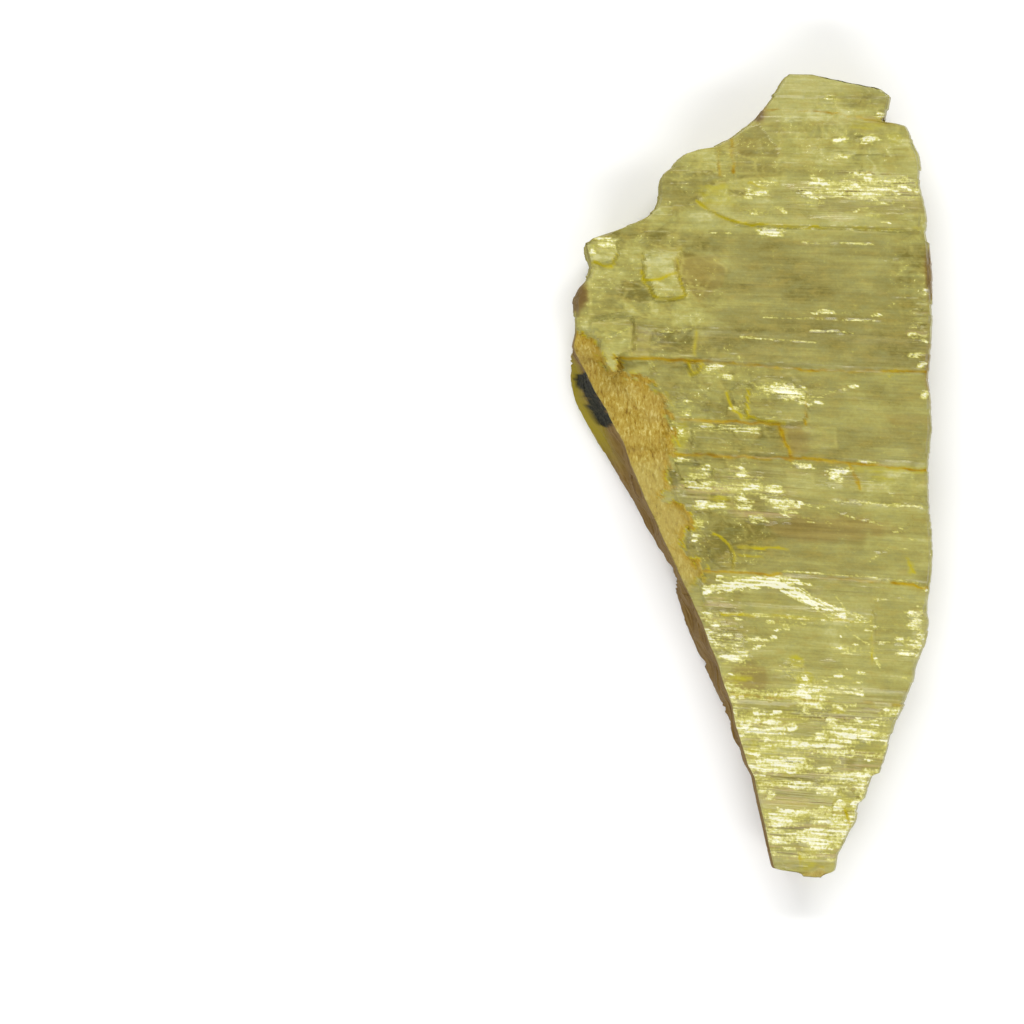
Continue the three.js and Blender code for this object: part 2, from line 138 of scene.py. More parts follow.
# Panels of the sheet that differ from the mineral round them: haze, lift, amber stain and outline
PANELS = [
    (0.85, 0.00, 0.0, [(-16.8, 23.4), (-13.3, 24.0), (-13.3, 22.5), (-14.1, 21.1), (-15.9, 21.2)]),
    (0.22, 0.05, 0.0, [(-10.8, 24.6), (-8.3, 24.7), (-7.1, 22.9), (-10.5, 22.8)]),
    (0.90, 0.10, 0.0, [(-10.8, 22.7), (-7.1, 22.6), (-7.8, 20.5), (-6.7, 18.0), (-9.6, 17.7), (-10.7, 19.8)]),
    (0.10, -0.06, 0.0, [(-13.2, 19.7), (-10.8, 19.2), (-9.6, 17.8), (-11.4, 17.4), (-12.9, 18.6)]),
    (0.30, 0.03, 0.4, [(-7.6, 21.9), (-3.9, 22.2), (-2.6, 20.9), (-2.9, 19.2), (-5.3, 17.5), (-7.8, 20.4)]),
    (0.42, 0.06, 0.0, [(-16.1, 20.0), (-13.7, 19.8), (-12.5, 16.6), (-16.2, 15.9)]),
    (0.66, 0.05, 0.0, [(-16.4, 15.2), (-12.1, 15.7), (-12.2, 12.1), (-13.4, 11.9), (-13.9, 10.5),
                       (-15.3, 13.7)]),
    (0.50, 0.04, 0.3, [(-12.0, 15.3), (-10.2, 14.6), (-10.3, 11.9), (-12.2, 12.0)]),
    (0.12, -0.05, 0.0, [(-10.1, 14.6), (-6.0, 14.7), (-5.8, 12.2), (-10.2, 12.0)]),
    (0.32, 0.05, 0.0, [(-9.4, 29.5), (-8.6, 30.7), (-4.9, 30.6), (-3.6, 30.0), (-5.4, 27.3), (-9.3, 27.1)]),
    (0.72, 0.08, 0.0, [(-7.9, 31.3), (-7.0, 32.4), (-3.6, 32.9), (-3.5, 30.5), (-4.9, 30.7)]),
    (0.26, 0.04, 0.1, [(-1.6, 34.3), (0.7, 35.4), (2.6, 32.8), (2.5, 30.5), (-1.5, 30.4)]),
    (0.74, 0.02, 0.0, [(-5.6, 27.4), (-3.6, 29.5), (0.5, 30.0), (6.5, 30.2), (6.4, 25.3), (-1.1, 25.4)]),
    (0.05, -0.04, 0.0, [(-2.5, 28.9), (-0.7, 28.9), (-0.5, 28.2), (-2.2, 28.1)]),
    (0.38, -0.04, 0.0, [(5.3, 35.5), (7.0, 35.6), (7.1, 33.8), (5.4, 33.9)]),
    (0.38, 0.03, 0.1, [(6.6, 28.2), (17.6, 27.8), (17.7, 26.3), (6.5, 26.6)]),
    (0.50, 0.05, 0.0, [(-0.1, 9.5), (3.9, 10.4), (5.6, 8.5), (5.8, 5.7), (2.9, 5.2), (-0.7, 6.1)]),
    (0.30, 0.04, 0.0, [(-5.8, 4.8), (2.8, 4.6), (3.9, 2.5), (-5.8, 2.5)]),
    (0.50, 0.03, 0.6, [(3.0, 5.2), (5.3, 5.1), (4.6, 2.3), (4.2, 2.0)]),
    (0.56, 0.04, 0.0, [(5.0, 5.0), (8.4, 4.9), (8.4, 2.9), (5.2, 2.9)]),
    (0.62, 0.03, 0.0, [(3.6, 0.4), (6.2, 0.3), (6.2, -1.7), (3.6, -1.6)]),
    (0.60, 0.03, 0.0, [(12.2, -12.2), (17.6, -12.6), (16.9, -18.3), (12.2, -18.4)]),
    (-0.10, -0.05, 0.0, [(-8.2, 0.6), (-7.5, 0.6), (-7.3, -1.4), (-8.0, -1.2)]),
    (0.00, -0.05, 0.0, [(-4.2, -1.5), (-2.2, -1.5), (-2.2, -2.7), (-4.2, -2.7)]),
    (-0.10, -0.05, 0.0, [(-4.0, -7.2), (-3.4, -7.3), (-2.8, -8.2), (-3.4, -8.2)]),
    (0.08, -0.05, 0.0, [(-5.8, 1.9), (-5.0, 1.9), (-5.1, 0.8), (-6.1, 0.8)]),
]
PANEL_SHARE = 0.8  # how far a panel's haze replaces the haze round it
BORDER_WIDTH = 0.22

# Blocks that the sheet is split into: fewest and most rows, usual length, lift and spread of the haze
BLOCKS = [(14, 36, 6.0, 0.018, 0.14), (5, 14, 2.4, 0.010, 0.12)]
BLOCK_LEAN = 0.03  # most slope of a block
# Seams are pale lines painted as highlights along the blocks' edges
SEAM_HIGHLIGHT_WIDTH = 0.16
SEAMLESS_SHARE = 0.4  # share of the blocks with no bright seam

# Edges of the sheet with a yellow rim, painted as light passing through the edge: strength and the line they
# follow
EDGE_GLOW_LINES = [
    (1.5, [(-15.9, 21.6), (-14.9, 21.2), (-14.0, 21.2), (-13.5, 22.3)]),
    (1.4, [(-10.8, 20.7), (-10.7, 19.4), (-9.7, 18.0), (-8.4, 17.8), (-6.7, 18.1)]),
    (1.1, [(-10.6, 19.8), (-9.2, 19.9), (-7.7, 20.4)]),
    (0.5, [(-10.9, 22.4), (-10.7, 20.9)]),
    (0.5, [(-7.2, 22.9), (-7.5, 20.9), (-6.7, 18.1)]),
    (1.2, [(-0.3, 8.7), (-0.5, 5.9), (1.2, 5.6), (3.2, 5.3)]),
    (1.2, [(-2.4, 8.5), (-2.3, 7.5), (-1.6, 6.7), (-0.9, 6.0)]),
    (1.2, [(-6.5, 11.6), (-6.1, 10.3), (-5.5, 10.4), (-5.0, 11.3)]),
    (1.0, [(-1.3, -7.0), (1.2, -7.1), (3.6, -7.3)]),
    (0.6, [(-1.3, -7.8), (1.2, -8.1)]),
    (0.9, [(-3.9, -5.8), (-3.1, -6.1), (-2.3, -6.8), (-1.8, -7.8), (-1.8, -9.2)]),
    (1.3, [(15.7, -8.1), (16.2, -9.7)]),
    (0.5, [(12.6, 8.9), (14.0, 10.2), (15.9, 10.6), (17.6, 10.8)]),
    (0.4, [(10.4, 9.3), (12.8, 8.3)]),
    (0.6, [(-3.0, -13.7), (3.0, -14.0), (11.1, -14.5)]),
    (0.6, [(5.0, -37.7), (5.0, -39.5), (7.2, -39.5)]),
    (0.6, [(8.9, -32.6), (9.7, -34.0), (9.9, -35.9), (9.3, -37.5)]),
    (1.1, [(-5.4, 27.7), (-4.5, 26.7), (-3.1, 25.9), (-1.6, 25.4), (1.0, 25.2)]),
    (0.6, [(1.0, 25.2), (5.0, 25.0), (18.2, 24.7)]),
    (0.5, [(-0.3, 29.4), (1.5, 29.0)]),
    (0.5, [(-11.9, 16.0), (-11.8, 12.8)]),
    (0.7, [(-5.6, 16.4), (-5.8, 11.5)]),
    (0.4, [(12.1, -12.1), (12.1, -18.6)]),
]
EDGE_GLOW_WIDTH = 0.19

# Cracks across and along the face: depth, colour strength and the line they follow
CRACKS = [
    (0.00, 0.5, [(1.0, 36.9), (7.0, 36.6), (13.6, 35.7)]),
    (0.02, 1.1, [(-3.4, 33.0), (-3.2, 30.2)]),
    (0.02, 1.2, [(-2.0, 34.0), (-1.8, 30.5)]),
    (0.00, 1.4, [(-13.4, 11.9), (-10.0, 11.8), (-5.1, 11.6)]),
    (0.00, 0.9, [(-5.1, 11.6), (1.0, 11.1), (5.0, 10.7), (18.2, 10.5)]),
    (0.00, 1.2, [(-7.1, 5.7), (2.8, 5.3)]),
    (0.05, 2.6, [(2.8, 5.2), (3.1, 3.9), (3.5, 3.0), (4.1, 1.8)]),
    (0.00, 1.5, [(-11.0, 2.5), (-1.1, 2.0), (2.8, 1.9)]),
    (0.00, 1.7, [(2.8, 1.9), (5.0, 1.8), (10.1, 1.4)]),
    (0.00, 1.2, [(10.1, 1.4), (18.2, 0.6)]),
    (0.02, 1.2, [(9.8, 1.4), (10.4, 0.0), (10.9, -1.2)]),
    (0.00, 1.1, [(-6.1, -9.5), (3.0, -9.8)]),
    (0.00, 0.6, [(3.0, -9.8), (11.1, -10.4), (14.0, -10.7)]),
    (0.00, 1.4, [(14.0, -10.7), (18.2, -11.2)]),
    (0.00, 0.45, [(5.6, 8.6), (5.4, 5.3)]),
    (0.00, 0.6, [(-2.1, -21.9), (5.0, -22.3), (15.7, -23.0)]),
]
CRACK_WIDTH = 0.17
LEDGE_WIDTH = 0.6  # the mineral is matt this far from a crack

# How cracks and rims are drawn
LINE_WANDER = (0.14, 0.06)  # how far they stray, in large and small bends
LINE_GAP_SIZE = 2.0  # usual length from gap to gap
LINE_BIT_SIZE = 0.6  # size of the bits that they are broken into
LINE_BITS = 0.6  # how strongly those bits differ

# Folds of the sheet that catch the light, tilted and with painted highlights: half width and the line they
# follow, from left to right
FOLDS = [
    (0.50, [(-4.5, -11.4), (-2.9, -11.1), (-0.6, -10.7), (1.8, -10.5), (4.0, -11.1), (5.7, -12.1),
            (7.5, -13.0), (9.1, -13.8)]),
    (0.30, [(3.0, -11.1), (4.6, -12.0), (6.6, -13.1)]),
    (0.14, [(6.2, -13.2), (8.2, -14.3)]),
    (0.30, [(-3.3, -10.2), (-0.1, -10.3), (3.0, -10.1), (5.0, -10.7)]),
    (0.25, [(8.9, -13.3), (10.6, -14.0), (11.9, -14.7)]),
    (0.12, [(8.3, -11.8), (9.4, -13.3)]),
    (0.12, [(9.4, -14.8), (10.4, -16.0), (11.9, -16.9)]),
    (0.20, [(12.2, -17.8), (12.8, -19.0)]),
    (0.12, [(12.4, -12.3), (15.1, -12.1)]),
    (0.12, [(12.6, -16.6), (17.7, -16.8)]),
    (0.16, [(-3.0, -13.7), (3.0, -14.0), (11.1, -14.5)]),
    (0.30, [(5.0, -21.1), (11.1, -21.7)]),
    (0.12, [(-2.1, -22.0), (2.0, -22.4)]),
    (0.32, [(-4.9, 5.0), (0.7, 4.7)]),
    (0.10, [(5.0, 23.5), (12.1, 23.3)]),
    (0.12, [(5.8, 14.7), (10.2, 14.4)]),
    (0.12, [(-1.1, 14.0), (6.5, 13.5)]),
    (0.12, [(2.5, 25.0), (17.8, 24.6)]),
    (0.10, [(1.0, 16.0), (13.1, 15.6)]),
    (0.14, [(-14.8, 13.8), (-12.0, 15.0)]),
    (0.12, [(-9.2, 14.5), (-6.1, 14.8)]),
    (0.12, [(6.2, 7.6), (7.6, 8.4), (9.6, 8.8)]),
    (0.14, [(8.1, -2.4), (11.1, -2.6), (17.2, -3.0)]),
    (0.12, [(8.6, -3.6), (10.8, -4.3), (13.1, -4.8)]),
    (0.20, [(3.0, -1.9), (4.7, -3.0)]),
    (0.10, [(11.8, -8.5), (13.8, -7.0)]),
    (0.10, [(12.3, -7.7), (15.7, -7.2)]),
    (0.12, [(3.0, -9.4), (11.1, -10.0), (17.5, -10.8)]),
]

# Broken facets that catch the light, tilted and with painted highlights: x, y, half length and half width
GLINTS = [
    (-3.7, 10.9, 0.8, 0.51), (-2.5, 10.0, 0.6, 0.3), (-6.5, 7.6, 0.5, 0.2), (-1.6, 6.8, 0.6, 0.2),
    (-7.1, 1.8, 0.6, 0.3), (-4.5, 0.6, 0.6, 0.51), (-5.6, -1.0, 1.2, 0.41), (-6.1, -0.4, 0.8, 0.3),
    (-3.5, -2.9, 1.0, 0.3), (-1.1, -2.1, 0.6, 0.41), (-5.1, -2.7, 0.6, 0.41), (-0.6, -2.9, 0.8, 0.41),
    (0.7, -4.1, 0.8, 0.3), (2.1, -1.4, 0.8, 0.51), (2.0, -2.4, 0.6, 0.3), (-4.4, -14.0, 0.7, 0.41),
    (-3.9, -14.8, 0.6, 0.41), (-2.6, -15.8, 0.8, 0.2), (0.7, -16.3, 1.0, 0.2), (-0.7, -17.8, 0.6, 0.41),
    (-1.6, -18.2, 0.8, 0.41), (-4.3, -16.1, 0.5, 0.81), (3.6, 8.6, 2.2, 0.71), (5.1, 7.5, 0.6, 0.3),
    (8.4, 0.2, 0.6, 0.61), (5.1, 1.1, 1.0, 0.3), (9.4, 0.6, 0.6, 0.3), (11.7, 1.4, 0.8, 0.2),
    (2.0, -24.9, 0.9, 0.51), (1.6, -25.6, 1.7, 0.41), (3.9, -25.3, 0.5, 0.51), (6.9, -26.0, 0.6, 0.51),
    (11.4, -25.9, 0.9, 0.61), (13.6, -26.4, 0.6, 0.51), (9.7, -26.5, 0.6, 0.41), (2.2, -28.5, 2.2, 0.41),
    (1.2, -29.2, 2.8, 0.41), (1.2, -29.9, 0.5, 0.3), (4.3, -28.4, 1.0, 0.3), (7.2, -29.4, 0.6, 0.3),
    (5.5, -31.0, 1.3, 0.41), (8.1, -31.4, 1.3, 0.51), (10.6, -30.7, 1.2, 0.51), (10.9, -31.4, 1.0, 0.3),
    (11.0, -32.7, 0.7, 0.51), (8.9, -33.0, 0.6, 0.61), (10.3, -34.2, 0.7, 0.71), (7.2, -34.5, 1.2, 0.71),
    (7.0, -36.7, 2.0, 0.81), (2.6, -36.5, 1.2, 0.41), (2.0, -31.8, 0.4, 0.41), (-0.6, -25.2, 0.4, 0.61),
    (5.3, -22.7, 1.0, 0.2), (8.9, -23.2, 0.3, 0.3), (4.8, -21.7, 1.2, 0.3), (1.8, -32.3, 0.5, 0.2),
    (16.4, -14.8, 0.6, 0.61), (16.7, -16.9, 0.9, 0.51), (17.0, -16.0, 0.5, 0.51), (15.7, -17.7, 1.2, 0.3),
    (16.4, -13.7, 0.8, 0.3), (12.9, 36.4, 1.0, 0.3), (11.7, 33.8, 1.0, 0.41), (8.8, 33.8, 0.7, 0.3),
    (7.9, 38.1, 0.6, 0.2), (8.8, 32.1, 1.0, 0.2), (-0.3, 28.5, 0.4, 0.61), (1.5, 29.4, 1.4, 0.2),
    (0.7, 28.4, 0.7, 0.3), (1.9, 24.6, 1.1, 0.51), (7.2, 16.5, 1.4, 0.2), (17.6, 18.5, 0.4, 0.41),
    (10.2, 9.1, 0.5, 0.2), (6.8, 7.5, 0.5, 0.2), (17.1, 11.2, 0.4, 0.3), (17.5, 8.2, 0.3, 0.4),
    (-14.4, 23.4, 0.9, 0.51), (-16.1, 22.5, 0.3, 0.51), (16.5, 12.2, 0.8, 0.2),
]
WIDE_GLINT = 0.28  # half width above which a facet is broken into strips
GLINT_TILT = 0.376  # slope that sends the light of a lamp straight up
FACING_AWAY = 0.4  # share of the facets that face the other lamp
FACET_SIZE = 0.8  # size of the tilted part of a facet or fold, as a share
FOLD_COMB = 0.4  # how far a fold's strips end apart, as a share of a facet's

# Highlights painted into the colour on the facets and folds, and in dabs between them
GLINT_LIGHT, GLINT_GLOW = 0.75, 0.4  # on a facet and round it
FOLD_LIGHT = 0.85  # the most on a fold
FOLD_STREAKS = 0.6  # how strongly it is streaked
FOLD_STREAK_SIZE = (1.6, 0.14)  # length and width of the streaks
DAB_LENGTHS = (0.75, 1.6)  # length of a dab of light, and its length near the tip
DABS_LONG_BELOW = -31.0  # place below which the dabs grow longer
DAB_LEAST = 0.15  # no dab is lit where less of the face shines than this
DAB_SHARE = 1.2  # share of the dabs that are lit, for each unit above that

# Saturated yellow spots, painted as a glow of light reflected inside the mineral
GOLD_GLOW = [
    (4.5, -18.6, 0.8, 0.6), (5.3, -20.2, 0.9, 0.6), (1.8, -27.5, 0.8, 0.6), (8.9, -23.5, 0.7, 0.3),
    (5.9, -38.6, 0.9, 0.9), (9.7, -33.0, 1.0, 0.6), (10.1, -35.0, 0.9, 0.8), (9.4, -37.1, 0.9, 0.6),
    (16.0, -9.1, 0.4, 0.7), (-3.3, -2.1, 1.0, 0.3), (0.2, -27.4, 0.5, 0.8), (-1.1, -20.3, 1.4, 0.4),
    (2.0, -30.8, 1.4, 0.3), (4.0, -29.8, 1.0, 0.3), (6.2, -40.3, 1.0, 0.5), (-3.4, 28.3, 1.6, 1.4, 0.6),
    (-7.0, 4.2, 0.9, 1.2, 0.6), (11.9, 35.4, 1.8, 0.5, 0.5), (14.3, 34.0, 0.8, 0.6, 0.5),
    (2.0, -24.5, 3.0, 1.2, 0.35), (14.2, 0.7, 3.8, 0.35, 0.6), (13.0, -0.3, 1.2, 0.4, 0.7),
    (9.0, -35.0, 2.5, 2.5, 0.5), (4.0, -33.5, 3.0, 1.0, 0.35), (1.5, -30.8, 2.5, 0.8, 0.45),
    (12.0, -28.0, 2.0, 0.8, 0.3),
]

# Crumbled places, where the face is broken into small bits, brightened with painted highlights
CRUMBS = [
    (-3.0, -15.5, 2.2, 2.6), (4.5, -19.4, 1.4, 1.2), (10.0, -34.2, 1.2, 2.6), (-5.0, 0.3, 1.4, 1.0),
    (3.6, 8.4, 2.4, 0.8), (17.0, -16.0, 1.0, 2.6), (-14.8, 23.4, 1.2, 0.9), (8.4, 0.0, 1.2, 1.2),
    (17.2, 16.0, 0.9, 2.0), (-7.4, 6.0, 1.2, 3.0), (-5.6, -5.0, 1.0, 3.4),
]

# Places where the sheet is split into many flakes
FLAKY = [
    (-12.0, 19.0, 8.0, 8.0), (-3.0, 31.0, 6.0, 4.0), (-4.0, 6.0, 6.5, 6.0), (10.0, 34.0, 7.0, 4.0),
    (-2.5, -6.0, 3.5, 5.0), (16.5, 21.0, 2.6, 6.5, 0.7), (14.0, -1.0, 4.0, 2.0, 0.5),
]
SHATTERED = FLAKY[:2]  # places with no striations and with irregular flakes
SHOULDER = FLAKY[:1]  # place where the bands of haze fade
FLAKE_HAZE = 0.22  # most difference in haze from flake to flake

# Amber and brown stains
STAINS = [
    (-5.4, 20.7, 2.4, 1.6, 0.5), (4.8, 3.6, 1.2, 1.2, 0.5), (7.5, -5.2, 6.0, 1.2, 0.6),
    (-0.3, -20.3, 2.4, 1.6, 0.6), (18.2, 21.1, 0.8, 3.0, 1.0), (18.1, 10.5, 0.7, 2.6, 0.8),
    (0.7, 36.8, 1.0, 1.2, 0.8), (13.2, 35.8, 1.6, 0.5, 0.6), (-17.4, 18.0, 0.9, 1.5, 1.0),
    (-1.0, 33.0, 1.6, 1.2, 0.3), (15.8, 5.7, 2.4, 0.5, 0.4),
]

# Paler places: here the strength is how much hazier they are
PALE = [
    (15.5, -4.5, 4.5, 6.0, 0.24), (14.0, 8.0, 5.0, 3.0, 0.12), (-11.4, 17.0, 2.8, 0.9, 0.35),
    (-13.6, 20.2, 1.3, 0.9, 0.25), (-8.6, 15.8, 2.6, 0.8, 0.25), (-6.0, 25.5, 2.4, 1.2, 0.2),
]

# Brown bits at the edge of the face
BROWN = [(-17.4, 18.0, 0.9, 1.5), (0.7, 36.6, 0.5, 1.1, 0.8), (18.0, 20.6, 0.5, 2.4, 0.8)]
BROWN_DARK = 0.25  # how dark they are

# Calm places in the striated end
CALM = [(3.6, -32.4, 4.2, 1.1, 0.8), (4.0, -37.4, 2.6, 0.6, 0.7), (9.8, -28.8, 3.6, 0.7, 0.7)]

# Dark inclusion in the flared left wall: the line along its middle and its half width
INCLUSION = [(-17.0, 10.0), (-15.9, 7.9), (-14.5, 5.7)]
INCLUSION_WIDTH = 0.75
BROWN_BELOW = 15.0  # place below which that wall is brown
WALL_OLIVE_ABOVE = -1.0  # place above which its lower half is olive
# Haze of the face's paler colour that the top of the right wall fades to, painted lighter to stand in for a
# lit rim
RIGHT_RIM_LIT_HAZE = 0.62
PLAIN_HAZE = 0.5  # haze of the other walls and the resting face

# Fibrous bevel between the left wall and the sheet: the sheet's ragged edge, then round its far side
BEVEL = [
    (-17.6, 14.4), (-16.7, 14.5), (-16.3, 14.1), (-15.5, 13.5), (-15.4, 12.8), (-14.9, 12.2), (-14.6, 10.9),
    (-14.1, 10.5), (-13.6, 10.9), (-13.4, 11.9), (-13.0, 11.6), (-12.6, 10.7), (-12.2, 10.1), (-11.2, 10.0),
    (-10.2, 10.2), (-10.1, 8.9), (-9.5, 8.5), (-8.9, 8.5), (-8.5, 7.7), (-8.3, 6.5), (-8.2, 5.6), (-7.9, 4.6),
    (-7.8, 3.4), (-7.7, 2.5), (-8.0, 2.3), (-8.1, 1.4), (-8.2, -0.2), (-7.5, -1.0), (-8.4, -1.6),
    (-9.0, -2.0), (-8.4, -2.4), (-6.9, -2.8), (-6.3, -3.8), (-5.4, -4.9), (-6.7, -5.5), (-7.3, -7.0),
    (-6.7, -7.8), (-5.3, -8.5), (-4.8, -9.4), (-5.4, -10.5), (-6.1, -11.5), (-7.1, -12.4),
    (-21.3, -12.4), (-21.3, 14.4),
]
BEVEL_EDGE = BEVEL[:-2]
BEVEL_FADE = (-12.4, -9.0)  # the bevel runs out between these places
BEVEL_STEP = 0.12  # how far it lies under the sheet's edge
BEVEL_OLIVE_BELOW = 2.6  # place below which it is paler and more olive
# The yellow along the bevel's edge is a painted glow of light through the sheet's edge
BEVEL_EDGE_GLOW = (0.9, 0.25)  # width of the yellow along its edge, on the bevel and on the sheet
FIBRE_DEPTH, BEVEL_CHIP_DEPTH = 0.09, 0.05
NUB = [(6.3, -40.4, 1.6, 0.75)]  # spot at the tip that is fibrous too
FIBRE_TURN = 0.39  # the fibres' turn from the slab's length, in radians
FIBRE_RUN = (0.92, 0.38)  # its cosine and sine, rounded

# How ragged the edges of the spots are, as a share of their radii
RAGGEDNESS = {
    "streaky": 0.25, "whole": 0.2, "crumbs": 0.35, "flaky": 0.2, "shoulder": 0.2, "calm": 0.25, "flakes": 0.2,
    "pale": 0.2, "gold": 0.4, "stains": 0.25, "brown": 0.3, "nub": 0.2,
}
COARSE_SIZE, FINE_SIZE = 0.9, 0.3  # size of the large and small features of a ragged edge

# Noise in the shapes and marks: strength, and size of its features across and along
NOISES = {
    "ragged x": (0.22, 0.9, 0.9), "ragged y": (0.08, 0.9, 0.9), "swell": (0.02, 9.0, 2.5),
    "block edge": (0.35, 1.2, 0.8), "block chips": (0.15, 0.4, 0.3), "border": (0.9, 1.5, 1.5),
    "panel edge x": (0.12, 0.6, 0.6), "panel edge y": (0.12, 0.6, 0.6), "flake rim": (0.8, 1.2, 1.2),
    "flake warp x": (0.6, 1.4, 1.4), "flake warp y": (0.5, 1.4, 1.4), "facet edge": (0.5, 0.6, 0.3),
    "streak patches": (1.0, 4.0, 1.3), "shine patches": (0.9, 3.0, 1.2), "shine chips": (0.2, 0.3, 0.25),
    "bevel chips x": (0.1, 0.25, 0.25), "bevel chips y": (0.1, 0.25, 0.25), "gilded": (1.0, 1.3, 1.3),
    "fibre": (1.0, 0.45, 1.8), "fine fibre": (0.8, 0.3, 0.6), "inclusion": (0.35, 0.5, 0.5),
}

# Scattered cells: size across and along
CELLS = {
    "flakes": (2.6, 1.9), "crumb bits": (0.8, 0.5), "shine bits": (0.6, 0.26), "dabs": (1.0, 0.34),
    "bevel edge": (0.35, 0.8), "bevel chips": (0.8, 1.8), "resting face": (6.0, 2.5),
}

# Fewest and most rows of the notches in the outline, the chips in the walls and the strips of light
ROW_COUNTS = {
    "coarse notch": (7, 24), "small notch": (2, 5), "chip": (5, 22), "facet": (3, 6), "shine": (1, 3),
}

# How far the strips, bits and splinters differ, either way
SCATTER = {
    "facet comb": 0.4, "facet tilt": 0.1, "shine comb": 0.3, "shine bits": 0.4, "glint shear": 0.8,
    "crumb lift": 0.06, "crumb tilt": 0.15, "bevel edge x": 0.5, "bevel edge y": 0.4,
}

# Steps of the repeatable numbers: factor and shift, in whole numbers of 32 bits
HASH_STEPS = ((0x9E3779B1, 15), (0x85EBCA77, 13))
WORD = np.uint64(0xFFFFFFFF)

# What is stored on the mesh for the material; shine, gold, gilt and seam are light painted into the colour
MARKS = ("bevel", "wall", "side", "olive", "dark", "crack", "ledge", "gilt", "seam", "gold", "haze", "streak",
         "shine", "flaky", "stain")

# Camera over the middle of a square picture, which is this wide at the slab's mid-height
PICTURE_MIDDLE = (-24.03, -3.53)
PICTURE_WIDTH = 103.7
PICTURE_LEVEL = 3.6
CAMERA_HEIGHT = 480.0
SENSOR = 36.0
CAMERA_NEAR = 0.01  # in metres

# Lamps: name, place, size and power, in metres and watts
LAMPS = [
    ("back", (0.0, 0.36, 0.41), (0.6, 0.14), 2.4),
    ("front", (0.0, -0.36, 0.41), (0.6, 0.14), 2.0),
]

# Brightness of the surroundings, from the horizon to straight overhead
WORLD_LEVELS = ((0.0, 0.8), (0.6, 0.9), (0.82, 0.7), (0.95, 0.10))
WORLD_STRENGTH = 0.68

FLOOR_REACH = 2.0  # from its middle to its edges, in metres
FLOOR_GRAIN = (20.0, 20.0, 20.0)
FLOOR_SHADES = [(0.3, (0.90, 0.90, 0.89, 1)), (0.7, (0.93, 0.93, 0.92, 1))]
FLOOR_ROUGHNESS = 0.8

LIGHT_LEVEL = 1.33  # how much brighter than its own colour a surface shows

# Noise in the material: features for each millimetre along X, Y and Z, then detail, roughness, distortion
# and turn
TEXTURES = {
    "cloud": ((0.16, 0.35, 0.3), 5.0, 0.6, 0.6),
    "streak": ((0.08, 1.8, 0.5), 4.0, 0.6),
    "stroke": ((0.28, 4.0, 1.0), 3.0, 0.55),
    "fine": ((0.12, 7.0, 1.0), 2.0, 0.55),
    "spots": ((0.6, 1.4, 1.0), 4.0, 0.65),
    "veil": ((0.7, 0.8, 0.7), 3.0, 0.6, 0.8),
    "grain": ((3.5, 3.5, 3.5), 3.0, 0.65),
    "fibre": ((3.9, 1.5, 1.5), 4.0, 0.7, 0.35, FIBRE_TURN),
    "layer": ((0.2, 0.25, 4.0), 4.0, 0.65),
}

# How the noise changes the haze: lowest and highest noise, and the haze it takes away or adds there
HAZE_SWINGS = [
    ("cloud", 0.25, 0.75, 0.27), ("streak", 0.3, 0.7, 0.13), ("fine", 0.3, 0.7, 0.07),
    ("grain", 0.3, 0.7, 0.08),
]

# Colours along a noise or mark: place, and the sRGB colour that shows, from 0 to 255
RAMPS = {
    "body": [(0.0, 126, 117, 54), (0.2, 148, 139, 72), (0.35, 157, 149, 80), (0.5, 168, 161, 87),
             (0.65, 178, 172, 95), (0.8, 188, 183, 106), (1.0, 208, 205, 142)],
    "amber": [(0.35, 138, 116, 54), (0.65, 166, 143, 72)],
    # bright: colours of the painted highlights, from yellow to near white
    "bright": [(0.0, 190, 183, 86), (0.3, 206, 200, 98), (0.65, 226, 221, 138), (1.0, 248, 246, 216)],
    "crack": [(0.4, 162, 126, 14), (0.6, 190, 162, 30)],
    "tan": [(0.31, 124, 91, 24), (0.42, 176, 145, 52), (0.56, 195, 170, 77), (0.68, 230, 212, 130)],
    "layered": [(0.30, 126, 112, 50), (0.44, 156, 146, 74), (0.58, 174, 166, 88), (0.76, 206, 198, 124)],
    "brown": [(0.28, 100, 72, 28), (0.45, 126, 98, 48), (0.60, 142, 115, 64), (0.78, 164, 138, 88)],
    "dark": [(0.4, 18, 19, 15), (0.7, 66, 66, 50)],
}

# Colours that are laid over these; seam, gold and gilt are painted light: edge highlights, glow from inside
# the mineral and light through its edges
TINTS = {
    "warm": (182, 163, 78), "cool": (152, 153, 96), "rose": (192, 166, 116), "line": (128, 112, 56),
    "seam": (202, 192, 104), "gold": (192, 182, 44), "gilt": (194, 178, 30), "wall olive": (158, 142, 42),
    "tan cloud": (188, 164, 92), "tan olive": (198, 184, 106), "tan speck": (130, 98, 46),
    "tan gilt": (182, 146, 26),
}

# Surface of the mineral
GLOW = (0.12, 0.03)  # share of the light that goes into the mineral, and into its dull parts
GLOW_COLOURS = (1.0, 0.85, 0.25)  # how far red, green and blue go in it
GLOW_DEPTH = 0.5
GLOSS = (0.32, 0.05)  # of the mineral, and of its matt parts
GLOSS_TINT = (1.0, 0.99, 0.88, 1.0)
REFRACTION = 1.8
ROUGHNESS = (0.26, 0.40)  # least and most
DULL_ROUGHNESS = 0.6
FIBRE_BUMP = 3.0
LAYER_BUMP = 2.0
BUMP_STRENGTH = 0.7
BUMP_DEPTH = 0.08


def mix(low, high, share):
    return low + (high - low) * share


def ease(share):
    """Smooth step from 0 to 1."""
    share = np.clip(share, 0.0, 1.0)
    return share * share * (3.0 - 2.0 * share)


